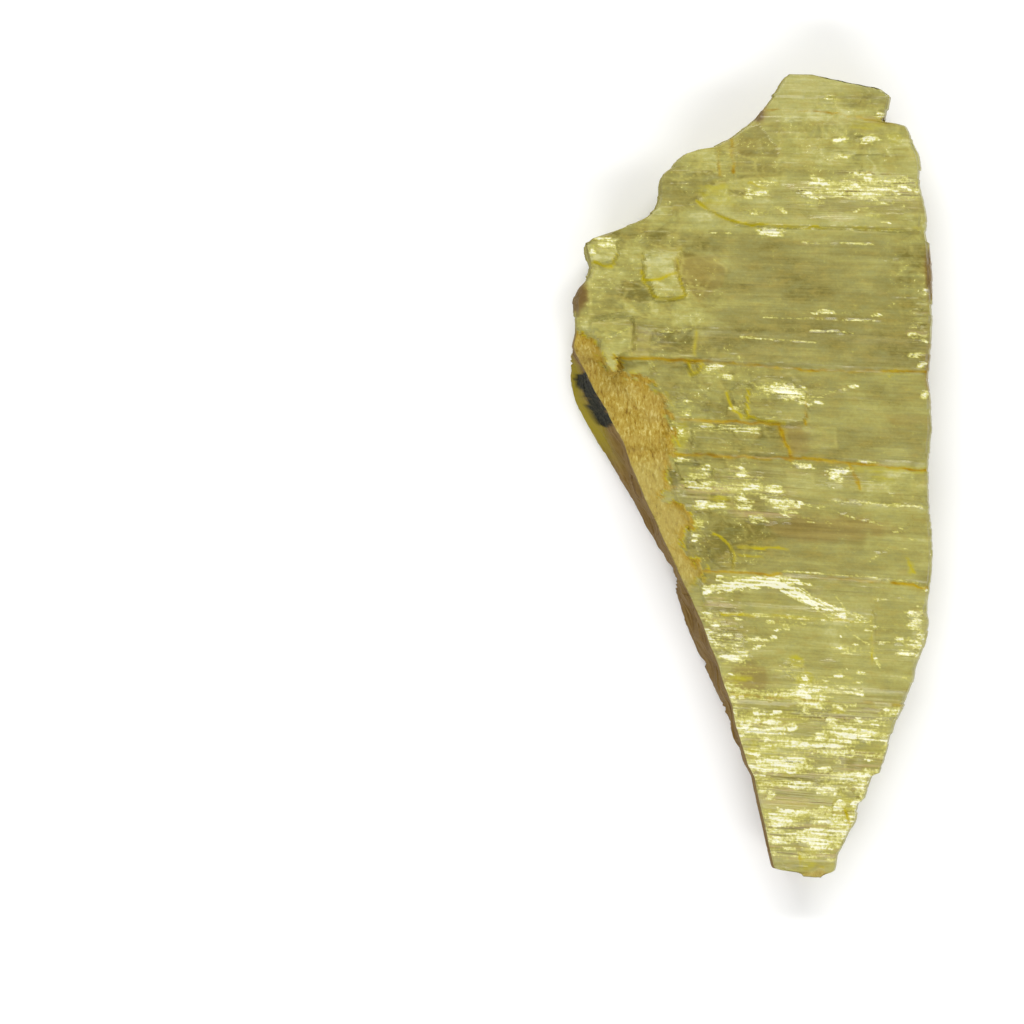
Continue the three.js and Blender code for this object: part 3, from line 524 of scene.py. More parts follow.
def hashed(label, *keys):
    """Repeatable number from 0 to 1 for each set of whole-number keys, another one for each label."""
    arrays = np.broadcast_arrays(*[np.asarray(key, dtype=np.int64) for key in keys])
    mixed = np.full(arrays[0].shape, zlib.crc32(label.encode()), dtype=np.uint64)
    for array in arrays:
        mixed ^= array.astype(np.uint64) & WORD
        for factor, shift in HASH_STEPS:
            mixed = (mixed * np.uint64(factor)) & WORD
            mixed ^= mixed >> np.uint64(shift)
    return mixed / 2.0**32


def either_way(label, *keys):
    """Repeatable number from -1 to 1."""
    return 2.0 * hashed(label, *keys) - 1.0


def scattered(label, *keys):
    """Repeatable number of either sign, up to what SCATTER gives for its label."""
    return SCATTER[label] * either_way(label, *keys)


def noise(label, x, y):
    """Smooth noise from -1 to 1, with a feature for each unit of x and y."""
    i, j = np.floor(x), np.floor(y)
    u, v = ease(x - i), ease(y - j)
    low = mix(hashed(label, i, j), hashed(label, i + 1, j), u)
    high = mix(hashed(label, i, j + 1), hashed(label, i + 1, j + 1), u)
    return 2.0 * mix(low, high, v) - 1.0


def wavy(label, x, y):
    """Smooth noise of the strength and size that NOISES gives for its label."""
    strength, across, along = NOISES[label]
    return strength * noise(label, x / across, y / along)


def warped(label, x, y):
    """Coordinates that stray by the noise of this label for x and for y."""
    return x + wavy(label + " x", x, y), y + wavy(label + " y", x, y)


def rough_edge(label, x, y, coarse, fine):
    """Noise that makes an edge ragged, with large and small features of these strengths."""
    small = noise(label + " fine", x / FINE_SIZE, y / FINE_SIZE)
    return coarse * noise(label, x / COARSE_SIZE, y / COARSE_SIZE) + fine * small


def cells(label, x, y):
    """Cells of the size in CELLS: two keys of each point's cell, and its offset up from the middle."""
    across_size, along_size = CELLS[label]
    x, y = x / across_size, y / along_size
    best = np.full(np.shape(x), np.inf)
    found = [np.zeros(np.shape(x)) for _ in range(3)]
    for step_i in (-1, 0, 1):
        for step_j in (-1, 0, 1):
            i, j = np.floor(x) + step_i, np.floor(y) + step_j
            across = x - i - hashed(label + " across", i, j)
            up = y - j - hashed(label + " up", i, j)
            distance = np.hypot(across, up)
            nearer = distance < best
            best = np.where(nearer, distance, best)
            found = [np.where(nearer, new, old) for new, old in zip((i, j, up), found)]
    return found


def line_distance(x, y, line):
    """Distance of each point to a line of points."""
    nearest = np.full(np.shape(x), np.inf)
    for (ax, ay), (bx, by) in zip(line, line[1:]):
        length = (bx - ax) ** 2 + (by - ay) ** 2
        share = np.clip(((x - ax) * (bx - ax) + (y - ay) * (by - ay)) / length, 0.0, 1.0)
        nearest = np.minimum(nearest, np.hypot(x - mix(ax, bx, share), y - mix(ay, by, share)))
    return nearest


def line_level(x, line):
    """Y of a line that runs from left to right, at each x."""
    return np.interp(x, [px for px, _ in line], [py for _, py in line])


def inside_outline(x, y, outline):
    """Whether each point lies inside a closed outline."""
    inside = np.zeros(np.shape(x), bool)
    for (ax, ay), (bx, by) in zip(outline, outline[1:] + outline[:1]):
        if ay != by:
            inside ^= ((ay > y) != (by > y)) & (x < ax + (y - ay) * (bx - ax) / (by - ay))
    return inside


def kink_slope(place):
    return np.interp(place, LEAN_PLACES, LEAN_SLOPES)


def kink_place(x, y):
    """Place along the slab of the kink line through a point."""
    return y + kink_slope(y) * x


class Solid:
    """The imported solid, in millimetres, probed by rays."""

    def __init__(self, node):
        mesh = node.data
        points = np.array([tuple(vertex.co) for vertex in mesh.vertices]) / MM
        self.tree = BVHTree.FromPolygons(points.tolist(), [tuple(p.vertices) for p in mesh.polygons])
        self.low, self.high = points.min(0), points.max(0)
        places = kink_place(points[:, 0], points[:, 1])
        self.first, self.last = places.max() - END_INSET, places.min() + END_INSET
        self.heights = self.height_map()

    def height_map(self):
        """Heights of the upper side on a square grid, spread a little past the outline."""
        down = Vector((0, 0, -1))
        xs = np.arange(self.low[0], self.high[0] + MAP_STEP, MAP_STEP)
        ys = np.arange(self.low[1], self.high[1] + MAP_STEP, MAP_STEP)
        hits = [[self.tree.ray_cast(Vector((x, y, OUTSIDE)), down)[0] for x in xs] for y in ys]
        heights = np.array([[hit.z if hit else np.nan for hit in row] for row in hits])
        heights = np.pad(heights, MAP_MARGIN, constant_values=np.nan)
        for _ in range(MAP_MARGIN):
            spread = np.stack([np.roll(heights, turn, axis) for axis in (0, 1) for turn in (-1, 1)])
            near = np.nanmax(np.where(np.isnan(spread), -1.0, spread), axis=0)
            heights = np.where(np.isnan(heights) & (near >= 0.0), near, heights)
        return np.nan_to_num(heights)

    def height(self, x, y):
        """Height of the upper side at these points, smoothed over one step of the map."""
        total = 0.0
        for shift_x, shift_y in ((-0.5, -0.5), (-0.5, 0.5), (0.5, -0.5), (0.5, 0.5)):
            u = (x - self.low[0]) / MAP_STEP + MAP_MARGIN + shift_x
            v = (y - self.low[1]) / MAP_STEP + MAP_MARGIN + shift_y
            u = np.clip(u, 0, self.heights.shape[1] - 2)
            v = np.clip(v, 0, self.heights.shape[0] - 2)
            i, j = np.floor(u).astype(int), np.floor(v).astype(int)
            low = mix(self.heights[j, i], self.heights[j, i + 1], u - i)
            high = mix(self.heights[j + 1, i], self.heights[j + 1, i + 1], u - i)
            total = total + mix(low, high, v - j)
        return total / 4.0

    def side(self, sign, place, z):
        """X of the wall on the left (-1) or the right (1) at a height, or None."""
        slope = float(kink_slope(place))
        start = Vector((sign * OUTSIDE, place - slope * sign * OUTSIDE, z))
        hit = self.tree.ray_cast(start, Vector((-sign, sign * slope, 0)).normalized())[0]
        return hit.x if hit else None

    def outline(self, sign, place):
        """X of the outermost point of the wall on this side."""
        levels = np.linspace(OUTLINE_FOOT, OUTLINE_TOP * self.high[2], OUTLINE_PROBES)
        found = [x for x in (self.side(sign, place, z) for z in levels) if x is not None]
        return max(found, key=lambda x: sign * x)

    def boxed(self, sign, x):
        """X of the wall on this side, kept a little inside the solid's box."""
        furthest = self.low[0] if sign < 0 else self.high[0]
        return sign * np.minimum(sign * x, sign * furthest - BOX_MARGIN)

    def rim(self, sign, place, outline, width):
        """X where the wall on this side turns into the upper face."""
        steps = np.arange(RIM_START, min(RIM_REACH, RIM_SHARE * width) + RIM_LOOK, MAP_STEP)
        x = outline - sign * steps
        heights = self.height(x, place - kink_slope(place) * x)
        ahead = int(round(RIM_LOOK / MAP_STEP))
        gentle = heights[ahead:] - heights[:-ahead] < RIM_SLOPE
        level = heights[2:len(gentle) + 2] - heights[:len(gentle)] < 4 * RIM_SLOPE * MAP_STEP
        turned = np.flatnonzero(gentle & level)
        inset = steps[turned[0]] if len(turned) else RIM_INSET * min(1.0, width / RIM_NARROW)
        return outline - sign * inset


def smoothed(values, reach):
    """Median, then mean, over the neighbouring rows."""
    padded = np.pad(values, reach, mode="edge")
    windows = np.lib.stride_tricks.sliding_window_view(padded, 2 * reach + 1)
    middle = np.pad(np.median(windows, axis=1), 1, mode="edge")
    return (middle[:-2] + middle[1:-1] + middle[2:]) / 3.0


def row_mean(heights, reach):
    """Mean of the heights over the rows on either side."""
    padded = np.pad(heights, ((reach, reach), (0, 0)), mode="edge")
    return np.lib.stride_tricks.sliding_window_view(padded, 2 * reach + 1, axis=0).mean(axis=-1)


def strip_rows(label, fewest, most):
    """Strips of a few rows each: every row's strip, and its distance in rows from the strip's middle."""
    sizes = fewest + np.floor(hashed(label, np.arange(ROWS)) * (most - fewest + 1))
    ends = np.cumsum(sizes)
    strip = np.searchsorted(ends, np.arange(ROWS), side="right")
    middle = ends - (sizes + 1.0) / 2.0
    return strip[:, None], (np.arange(ROWS) - middle[strip])[:, None]


def patches(label, x, y, spots):
    """Soft-edged, ragged spots: 1 inside the ellipses, or their strength, and 0 outside them."""
    inside = np.zeros_like(x)
    wander = RAGGEDNESS[label] * rough_edge(label, x, y, 1.0, 0.5)
    for cx, cy, rx, ry, *strength in spots:
        ring = np.hypot((x - cx) / rx, (y - cy) / ry) + wander
        inside = np.maximum(inside, ease(2.0 - 1.5 * ring) * (strength[0] if strength else 1.0))
    return inside


def evened(places, x, heights):
    """Heights of the face with the solid's ribs evened out and some ledges spread."""
    place = places[:, None]
    share = sum(
        ease((upper - place) / RIB_FADE) * ease((place - lower) / RIB_FADE) for upper, lower in RIBBED
    )
    heights = mix(heights, row_mean(heights, RIB_REACH), share)
    share = sum(
        ease(upper - place) * ease(place - lower) * ease((x - gone) / FADE_WIDTH)
        for upper, lower, gone in FADING
    )
    return mix(heights, row_mean(heights, FADE_REACH), share)


def jagged(places, sign, outline):
    """How far the broken outline on the left (-1) or the right (1) strays from the solid's."""
    label = f"outline {sign}"
    coarse, _ = strip_rows(label + " coarse", *ROW_COUNTS["coarse notch"])
    small, _ = strip_rows(label + " small", *ROW_COUNTS["small notch"])
    stray = either_way(label + " coarse", coarse[:, 0])
    stray = stray + JAG_SMALL_SHARE * either_way(label + " small", small[:, 0])
    sideways = np.abs(np.gradient(smoothed(outline, JAG_REACH), places))
    stray = stray * np.minimum(1.0 + JAG_SIDEWAYS * sideways, JAG_MOST)
    if sign < 0:
        stray = stray * ease((places - JAGGED_ABOVE) / 2.0)
    from_end = np.minimum(places[0] - places, places - places[-1])
    return JAG * stray * ease((from_end - JAG_END) / 1.5)


def sheet_levels(places, sign):
    """Lower and upper edges of the sheets in a wall, as shares of its height, for every row."""
    sheet = np.arange(WALL_SHEETS)
    sway = SHEET_SWAY * noise(f"sheet sway {sign}", places[:, None] / SWAY_LENGTH, SWAY_APART * sheet)
    lower = sheet / WALL_SHEETS + np.where(sheet > 0, sway, 0.0)
    upper = np.concatenate([lower[:, 1:], np.ones((ROWS, 1))], axis=1) - SHEET_GAP
    return np.stack([lower, upper], axis=-1).reshape(ROWS, WALL_LEVELS)


def set_back(places, sign):
    """How far the edges of the sheets in a wall stand back from the solid, for every row and level."""
    label = f"sheets {sign}"
    sheet = np.arange(WALL_LEVELS) // 2
    wave = 0.5 + 0.5 * noise(label, places[:, None] / WAVE_LENGTH, WAVE_APART * sheet)
    chips, _ = strip_rows(label, *ROW_COUNTS["chip"])
    back = SHEET_BACK[sign] * (0.6 * wave + 0.4 * hashed(label + " chips", chips, sheet))
    fine = FINE_BACK * hashed(label + " fine", np.arange(ROWS)[:, None] // 2, sheet)
    return np.where(sheet < WALL_SHEETS - 1, back + fine, 0.0)


def find_rims(solid, places, outlines):
    """X where the walls on the left (-1) and the right (1) turn into the upper face, for every row."""
    widths = outlines[1] - outlines[-1]
    rims = {}
    for sign, outline in outlines.items():
        found = [solid.rim(sign, p, x, w) for p, x, w in zip(places, outline, widths)]
        inset = np.maximum(sign * (outline - smoothed(np.array(found), 2)), LEAST_INSET)
        rims[sign] = solid.boxed(sign, outline - sign * inset + jagged(places, sign, outline))
    return rims


def sample_wall(solid, places, sign, outline, rim, height):
    """X and height of the sheets' edges in the wall on the left (-1) or the right (1)."""
    z = sheet_levels(places, sign) * height[:, None]
    x = np.empty_like(z)
    for row, place in enumerate(places):
        for level in range(WALL_LEVELS):
            hit = solid.side(sign, place, max(z[row, level], LOWEST_PROBE))
            x[row, level] = rim[row] if hit is None else hit
    x = sign * np.maximum(sign * x, sign * rim[:, None] - UNDERCUT)
    x = x + jagged(places, sign, outline)[:, None] - sign * set_back(places, sign)
    x = solid.boxed(sign, x)
    x[:, -2:] = sign * np.maximum(sign * x[:, -2:], sign * rim[:, None])
    return x, z


def sample_slab(solid):
    """Points of the slab's upper face and walls, in rows along the kink lines."""
    places = np.linspace(solid.first, solid.last, ROWS)
    outlines = {sign: np.array([solid.outline(sign, place) for place in places]) for sign in (-1, 1)}
    rims = find_rims(solid, places, outlines)
    left, right = rims[-1][:, None], rims[1][:, None]
    face_x = mix(left, right, np.linspace(0.0, 1.0, FACE_COLUMNS))
    face_y = places[:, None] - kink_slope(places)[:, None] * face_x
    inward = ease(np.minimum(face_x - left, right - face_x) / RAGGED_INSIDE)
    probe_x = face_x + inward * wavy("ragged x", face_x, face_y)
    probe_y = face_y + inward * wavy("ragged y", face_x, face_y)
    face_z = evened(places, face_x, solid.height(probe_x, probe_y))
    walls = {
        sign: sample_wall(solid, places, sign, outlines[sign], rims[sign], face_z[:, column])
        for sign, column in ((-1, 0), (1, -1))
    }
    return places, face_x, face_z, walls


def striated(x, streak, row_step):
    """Relief and haze of the narrow strips along the kink lines."""
    relief, haze = np.zeros_like(x), np.zeros_like(x)
    for fewest, most, length, tilt, share in STRIPS:
        label = f"strips of {fewest}"
        strip, off = strip_rows(label, fewest, most)
        reach = length * (0.5 + hashed(label + " reach", strip))
        stretch = np.floor(x / reach + MOST_SHIFT * hashed(label + " shift", strip))
        tilted = hashed(label + " tilted", strip, stretch) < TILTED_SHARE * share * (streak - CALM_STREAK)
        lean = either_way(label + " lean", strip, stretch) * np.where(tilted, tilt, QUIET_TILT * tilt)
        relief += lean * off * row_step
        haze += STRIP_HAZE * either_way(label + " haze", strip, stretch) * (0.4 + streak)
    return relief, haze


def blocked(x, place, flaky, row_step):
    """Relief, haze and seams of the blocks that the sheet is split into, the seams painted as bright edge
    highlights.
    """
    relief, haze, seam = np.zeros_like(x), np.zeros_like(x), np.zeros_like(x)
    ragged = x + wavy("block edge", x, place) + wavy("block chips", x, place)
    for fewest, most, length, lift, spread in BLOCKS:
        label = f"blocks of {fewest}"
        course, off = strip_rows(label, fewest, most)
        reach = length * (0.6 + 0.8 * hashed(label + " reach", course))
        along = ragged / reach + MOST_SHIFT * hashed(label + " shift", course)
        block = np.floor(along)
        up, across = off * row_step, (along - block - 0.5) * reach
        relief += flaky * lift * either_way(label + " lift", course, block)
        relief += flaky * BLOCK_LEAN * up * either_way(label + " lean", course, block)
        relief += flaky * BLOCK_LEAN * across * either_way(label + " turn", course, block)
        haze += spread * either_way(label + " haze", course, block) * (0.2 + 0.8 * flaky)
        edge = 0.5 * reach - np.abs(across)
        seamed = hashed(label + " seam", course, block) > SEAMLESS_SHARE
        seam = np.maximum(seam, (1.0 - edge / SEAM_HIGHLIGHT_WIDTH) * seamed)
    return relief, haze, np.clip(seam, 0.0, 1.0) * flaky


def flaked(x, y, share):
    """Haze of the irregular flakes on the shoulder, and their edges painted bright as highlights."""
    i, j, _ = cells("flakes", *warped("flake warp", x, y))
    key = hashed("flakes", i, j)
    edge = np.zeros(x.shape, bool)
    edge[:, 1:] |= key[:, 1:] != key[:, :-1]
    edge[1:] |= key[1:] != key[:-1]
    rim = np.clip(0.5 + wavy("flake rim", x, y), 0.0, 1.0)
    return share * FLAKE_HAZE * (2.0 * key - 1.0), share * edge * rim


def panelled(x, y, haze):
    """Haze with the panels of the sheet, and their relief, stain and borders, the borders painted as bright
    edge highlights.
    """
    relief, stain, border = np.zeros_like(x), np.zeros_like(x), np.zeros_like(x)
    ragged_x, ragged_y = warped("panel edge", x, y)
    for level, lift, amber, outline in PANELS:
        inside = inside_outline(ragged_x, ragged_y, outline)
        haze = np.where(inside, mix(haze, level, PANEL_SHARE), haze)
        relief = np.where(inside, relief + lift, relief)
        stain = np.where(inside, amber, stain)
        distance = line_distance(ragged_x, ragged_y, outline + outline[:1])
        border = np.maximum(border, 1.0 - distance / BORDER_WIDTH)
    border = border * np.clip(0.4 + wavy("border", x, y), 0.0, 1.0)
    return haze, relief, stain, border


def glinting(x, y, place, relief, base_slope, row_step):
    """Relief with the broken facets and folds that catch the light."""
    strip, off = strip_rows("facet strips", *ROW_COUNTS["facet"])
    comb = scattered("facet comb", strip)
    ragged = wavy("facet edge", x, place)
    uneven = 1.0 + scattered("facet tilt", strip)
    for number, (cx, cy, long, half) in enumerate(GLINTS):
        across = place - kink_place(cx, cy)
        inside = ((x - cx) / long + comb) ** 2 + (across / half) ** 2 < FACET_SIZE + ragged
        tilt = GLINT_TILT * (1.0 if hashed("facet side", number) > FACING_AWAY else -1.0)
        run = -off * row_step * uneven if half > WIDE_GLINT else across
        relief = np.where(inside, (tilt - base_slope) * run, relief)
    for half, line in FOLDS:
        across = y - line_level(x, line)
        inside = np.abs(across) < half * (FACET_SIZE + ragged + FOLD_COMB * comb)
        inside &= (x > line[0][0]) & (x < line[-1][0])
        relief = np.where(inside, (GLINT_TILT - base_slope) * across, relief)
    return relief


def dabbed(x, place, level):
    """How much painted highlight the face has without its facets and folds: a level with scattered dabs of
    light.
    """
    shine = level * np.clip(1.0 + wavy("shine patches", x, place), 0.0, 2.0)
    length = mix(*DAB_LENGTHS, ease((DABS_LONG_BELOW - place) / 3.0))
    i, j, _ = cells("dabs", x / length, place)
    lit = hashed("dabs", i, j) < DAB_SHARE * (shine - DAB_LEAST)
    return np.where(lit, np.maximum(shine, 0.30 + 0.60 * hashed("dab light", i, j)), shine)


def shining(x, y, place, level):
    """How much highlight is painted into the face's colour, from 0 to 1: scattered dabs, broken facets and
    folds.
    """
    strip, _ = strip_rows("shine strips", *ROW_COUNTS["shine"])
    comb = scattered("shine comb", strip)
    i, j, _ = cells("shine bits", x, place)
    ragged = scattered("shine bits", i, j) + wavy("shine chips", x, place)
    shine = dabbed(x, place, level)
    for number, (cx, cy, long, half) in enumerate(GLINTS):
        up = place - kink_place(cx, cy)
        across = x - cx + scattered("glint shear", number) * up
        ring = np.cbrt(np.abs(across / long + comb) ** 3 + np.abs(up / half) ** 3) + ragged
        shine = np.maximum(shine, GLINT_LIGHT * ease(1.5 - ring))
        shine = np.maximum(shine, GLINT_GLOW * ease(1.4 - 0.6 * ring))
    for number, (half, line) in enumerate(FOLDS):
        streak_y = (y - line_level(x, line)) / FOLD_STREAK_SIZE[1]
        streaks = FOLD_STREAKS * noise(f"fold {number}", x / FOLD_STREAK_SIZE[0], streak_y)
        strength = np.clip(0.35 + 1.2 * half, 0.0, FOLD_LIGHT) * (1.0 + streaks * ease(half / 0.3))
        shine = np.maximum(shine, strength * ease(1.5 - line_distance(x, y, line) / half - ragged))
    return shine


def drawn(label, x, y, width, lines):
    """How strongly ragged lines of this half width show, and how deep they are cut."""
    depths, strengths = np.zeros_like(x), np.zeros_like(x)
    wander = rough_edge(label, x, y, *LINE_WANDER)
    bits = LINE_BITS * noise(f"{label} bits", x / LINE_BIT_SIZE, y / LINE_BIT_SIZE)
    for number, (*depth, strength, line) in enumerate(lines):
        distance = line_distance(x + wander, y + wander, line) / (width * (0.65 + 0.3 * strength))
        broken = noise(f"{label} {number}", x / LINE_GAP_SIZE, y / LINE_GAP_SIZE) + bits
        fade = np.clip(strength - 0.2 + 0.6 * broken, 0.0, 1.0)
        depths += sum(depth) * ease(1.0 - distance)
        strengths = np.maximum(strengths, fade * ease(1.3 - distance))
    return depths, strengths


def by_fibres(x, y):
    """Coordinates across and along the fibres of the bevel."""
    cosine, sine = FIBRE_RUN
    return cosine * x + sine * y, cosine * y - sine * x


def find_bevel(x, y):
    """Where the upper face is fibrous, and how strongly the sheet's edge over the bevel glows yellow with
    painted light through it, each from 0 to 1.
    """
    i, j, _ = cells("bevel edge", *by_fibres(x, y))
    ragged_x = x + scattered("bevel edge x", i, j) + wavy("bevel chips x", x, y)
    ragged_y = y + scattered("bevel edge y", i, j) + wavy("bevel chips y", x, y)
    inside = inside_outline(ragged_x, ragged_y, BEVEL)
    distance = line_distance(ragged_x, ragged_y, BEVEL_EDGE)
    low, high = BEVEL_FADE
    fade = ease((y - low) / (high - low))
    # Painted yellow glow of light through the sheet's edge
    gilt = ease(1.0 - distance / np.where(inside, *BEVEL_EDGE_GLOW))
    gilt = gilt * np.clip(0.8 + wavy("gilded", x, y), 0, 1)
    nub = patches("nub", x, y, NUB)
    return np.maximum(inside * ease(distance / 0.1) * fade, nub), gilt * fade


def face_detail(x, y, place, bevel, bevel_edge_glow, base_slope, row_step):
    """Relief of the upper face over the solid, and the marks on it."""
    order = [-p for p, *_ in BANDS]
    streak, haze, level = (np.interp(-place, order, values) for values in list(zip(*BANDS))[1:])
    streaky = patches("streaky", x, y, STREAKY)
    whole = 1.0 - 0.9 * patches("whole", x, y, SHATTERED)
    patchy = np.clip(0.9 + wavy("streak patches", x, place), 0.05, 1.6)
    streak = whole * np.maximum(streak, streaky) * patchy
    crumb = patches("crumbs", x, y, CRUMBS)
    flaky = np.clip(0.2 + patches("flaky", x, y, FLAKY), 0.0, 1.0)
    haze = mix(haze, 0.5, 0.7 * patches("shoulder", x, y, SHOULDER))
    level = np.maximum(np.maximum(level * (1.0 - 0.8 * flaky), 0.5 * streaky), 0.3 * crumb)
    level = level * (1.0 - patches("calm", x, y, CALM))

    flake_haze, flake_edge_highlight = flaked(x, y, patches("flakes", x, y, SHATTERED))
    haze = haze + flake_haze + patches("pale", x, y, PALE)
    block_relief, block_haze, seam = blocked(x, place, flaky, row_step)
    haze, relief, stain, border = panelled(x, y, haze + block_haze)
    relief += block_relief + wavy("swell", x, place)
    strip_relief, strip_haze = striated(x, streak, row_step)
    relief, haze = relief + strip_relief, haze + strip_haze
    i, j, up = cells("crumb bits", x, place)
    relief += crumb * (scattered("crumb lift", i, j) + scattered("crumb tilt", i, j) * up)
    relief = glinting(x, y, place, relief, base_slope, row_step)
    brown = patches("brown", x, y, BROWN)
    depth, crack = drawn("crack", x, y, CRACK_WIDTH, CRACKS)
    _, by_crack = drawn("crack", x, y, LEDGE_WIDTH, CRACKS)
    _, gilt = drawn("gilt", x, y, EDGE_GLOW_WIDTH, EDGE_GLOW_LINES)
    relief -= depth

    across, along = by_fibres(x, y)
    i, j, _ = cells("bevel chips", across, along)
    chip = either_way("bevel chips", i, j)
    fibre = wavy("fibre", across, along) + wavy("fine fibre", across, along)
    relief = mix(relief, FIBRE_DEPTH * fibre + BEVEL_CHIP_DEPTH * chip - BEVEL_STEP, bevel)
    return {
        "relief": relief,
        "olive": ease((BEVEL_OLIVE_BELOW - y) / 2.0),
        "wall": brown,
        "dark": BROWN_DARK * brown,
        "crack": crack * (1.0 - 0.6 * bevel),
        "ledge": np.maximum(by_crack, ease((np.abs(base_slope) - 0.10) / 0.15)),
        # gilt: yellow glow painted where light passes through the sheet's edges
        "gilt": np.maximum(gilt, bevel_edge_glow),
        # seam: highlights painted along the edges of blocks, panels and flakes
        "seam": np.maximum(np.maximum(0.7 * seam, border), flake_edge_highlight) * (1.0 - bevel),
        # gold: yellow glow painted where light is reflected inside the mineral
        "gold": patches("gold", x, y, GOLD_GLOW),
        "haze": mix(haze, 0.5 + 0.25 * chip, bevel),
        "streak": streak,
        # shine: highlights painted into the colour
        "shine": shining(x, y, place, level) * (1.0 - bevel),
        "flaky": flaky,
        "stain": np.maximum(stain, patches("stains", x, y, STAINS)),
    }


def build_slab(solid):
    """Points of every row as one closed loop, and the marks on them."""
    places, face_x, face_z, walls = sample_slab(solid)
    row_step = places[0] - places[1]
    place = np.repeat(places[:, None], FACE_COLUMNS, axis=1)
    face_y = place - kink_slope(place) * face_x
    bevel, bevel_edge_glow = find_bevel(face_x, face_y)

    base_slope = np.gradient(face_z, axis=0) / -row_step
    base_slope = np.stack([smoothed(column, SLOPE_REACH) for column in base_slope.T], axis=1)
    on_face = face_detail(face_x, face_y, place, bevel, bevel_edge_glow, base_slope, row_step)
    edge = np.minimum(np.arange(FACE_COLUMNS), np.arange(FACE_COLUMNS)[::-1])
    fade = ease((edge + 1.0) / 3.0)
    face_z = np.minimum(face_z + on_face.pop("relief") * fade, solid.high[2])

    loops, marks = [], []

    def add(x, y, z, **values):
        loops.append(np.stack([x, y, z], axis=-1))
        marks.append(np.stack([np.broadcast_to(values.get(mark, 0.0), x.shape) for mark in MARKS], axis=-1))

    def add_wall(sign, order):
        x, z = (part[:, order] for part in walls[sign])
        rows = np.repeat(places[:, None], WALL_LEVELS, axis=1)
        y = rows - kink_slope(rows) * x
        stain = patches("stains", x, y, STAINS)
        spots = patches("brown", x, y, BROWN)
        upward = z / np.maximum(face_z[:, :1] if sign < 0 else face_z[:, -1:], 0.1)
        if sign > 0:
            # The wall's top fades to the face's paler colour: painted light on its rim
            add(x, y, z, side=ease((1.0 - upward) / 0.3), wall=spots, haze=RIGHT_RIM_LIT_HAZE, stain=stain)
            return
        brown = np.maximum(ease((BROWN_BELOW - rows) / 2.0), spots)
        olive = ease((0.75 - upward) / 0.4) * ease((rows - WALL_OLIVE_ABOVE) / 5.0) * brown
        from_middle = line_distance(x, y, INCLUSION) / INCLUSION_WIDTH
        dark = ease(4.0 * (1.0 + wavy("inclusion", x, y) - from_middle))
        dark = np.maximum(dark, BROWN_DARK * spots)
        add(x, y, z, side=1.0, wall=brown, olive=olive, dark=dark, haze=PLAIN_HAZE, stain=stain)

    add_wall(-1, slice(None))
    add(face_x, face_y, face_z, bevel=bevel, **on_face)
    add_wall(1, slice(None, None, -1))
    left_foot, right_foot = loops[0][:, 0], loops[2][:, -1]
    share = np.linspace(1.0, 0.0, BASE_COLUMNS + 2)[1:-1]
    base = mix(left_foot[:, None, :], right_foot[:, None, :], share[None, :, None])
    i, j, _ = cells("resting face", base[..., 0], base[..., 1])
    base[..., 2] = BASE_LIFT * (hashed("resting face lift", i, j) > BASE_TOUCHING)
    add(base[..., 0], base[..., 1], base[..., 2], haze=PLAIN_HAZE, streak=0.3, flaky=0.6)
    marks = np.concatenate(marks, axis=1)
    marks[[0, -1]] = [{"side": 1.0, "haze": PLAIN_HAZE}.get(mark, 0.0) for mark in MARKS]
    return places, np.concatenate(loops, axis=1), marks


def slab_object(solid):
    """Mesh object of the slab."""
    places, loops, marks = build_slab(solid)
    rows, count, _ = loops.shape
    flow = loops.copy()
    flow[..., 1] = places[:, None]
    index = np.arange(rows * count).reshape(rows, count)
    here, down = index[:-1], index[1:]
    corners = (here, down, np.roll(down, -1, axis=1), np.roll(here, -1, axis=1))
    quads = np.stack(corners, axis=-1).reshape(-1, 4)
    faces = quads.tolist() + [index[0].tolist(), index[-1][::-1].tolist()]
    mesh = bpy.data.meshes.new("orpiment")
    mesh.from_pydata((loops.reshape(-1, 3) * MM).tolist(), [], faces)
    for name, values in zip(MARKS, marks.reshape(-1, len(MARKS)).T):
        layer = mesh.attributes.new(name, "FLOAT", "POINT")
        layer.data.foreach_set("value", np.ascontiguousarray(values, dtype=np.float32))
    layer = mesh.attributes.new("flow", "FLOAT_VECTOR", "POINT")
    layer.data.foreach_set("vector", np.ascontiguousarray(flow, dtype=np.float32).ravel())
    mesh.shade_smooth()
    mesh.set_sharp_from_angle(angle=math.radians(SHARP_ANGLE))
    mesh.validate()
    slab = bpy.data.objects.new("orpiment", mesh)
    bpy.context.scene.collection.objects.link(slab)
    return slab


def shown(red, green, blue):
    """Shader colour of a surface that shows as this sRGB colour, from 0 to 255, in the scene's light."""
    scaled = (value / 255.0 for value in (red, green, blue))
    linear = (v / 12.92 if v <= 0.04045 else ((v + 0.055) / 1.055) ** 2.4 for v in scaled)
    return tuple(v / LIGHT_LEVEL for v in linear) + (1.0,)


def shades(name):
    """Stops of one of the ramps in RAMPS."""
    return [(place, shown(*colour)) for place, *colour in RAMPS[name]]


def set_stops(node, stops):
    """Give a new colour ramp these stops, each a position and a colour."""
    elements = node.color_ramp.elements
    while len(elements) < len(stops):
        elements.new(0.5)
    for element, (position, colour) in zip(elements, stops):
        element.position = position
        element.color = colour


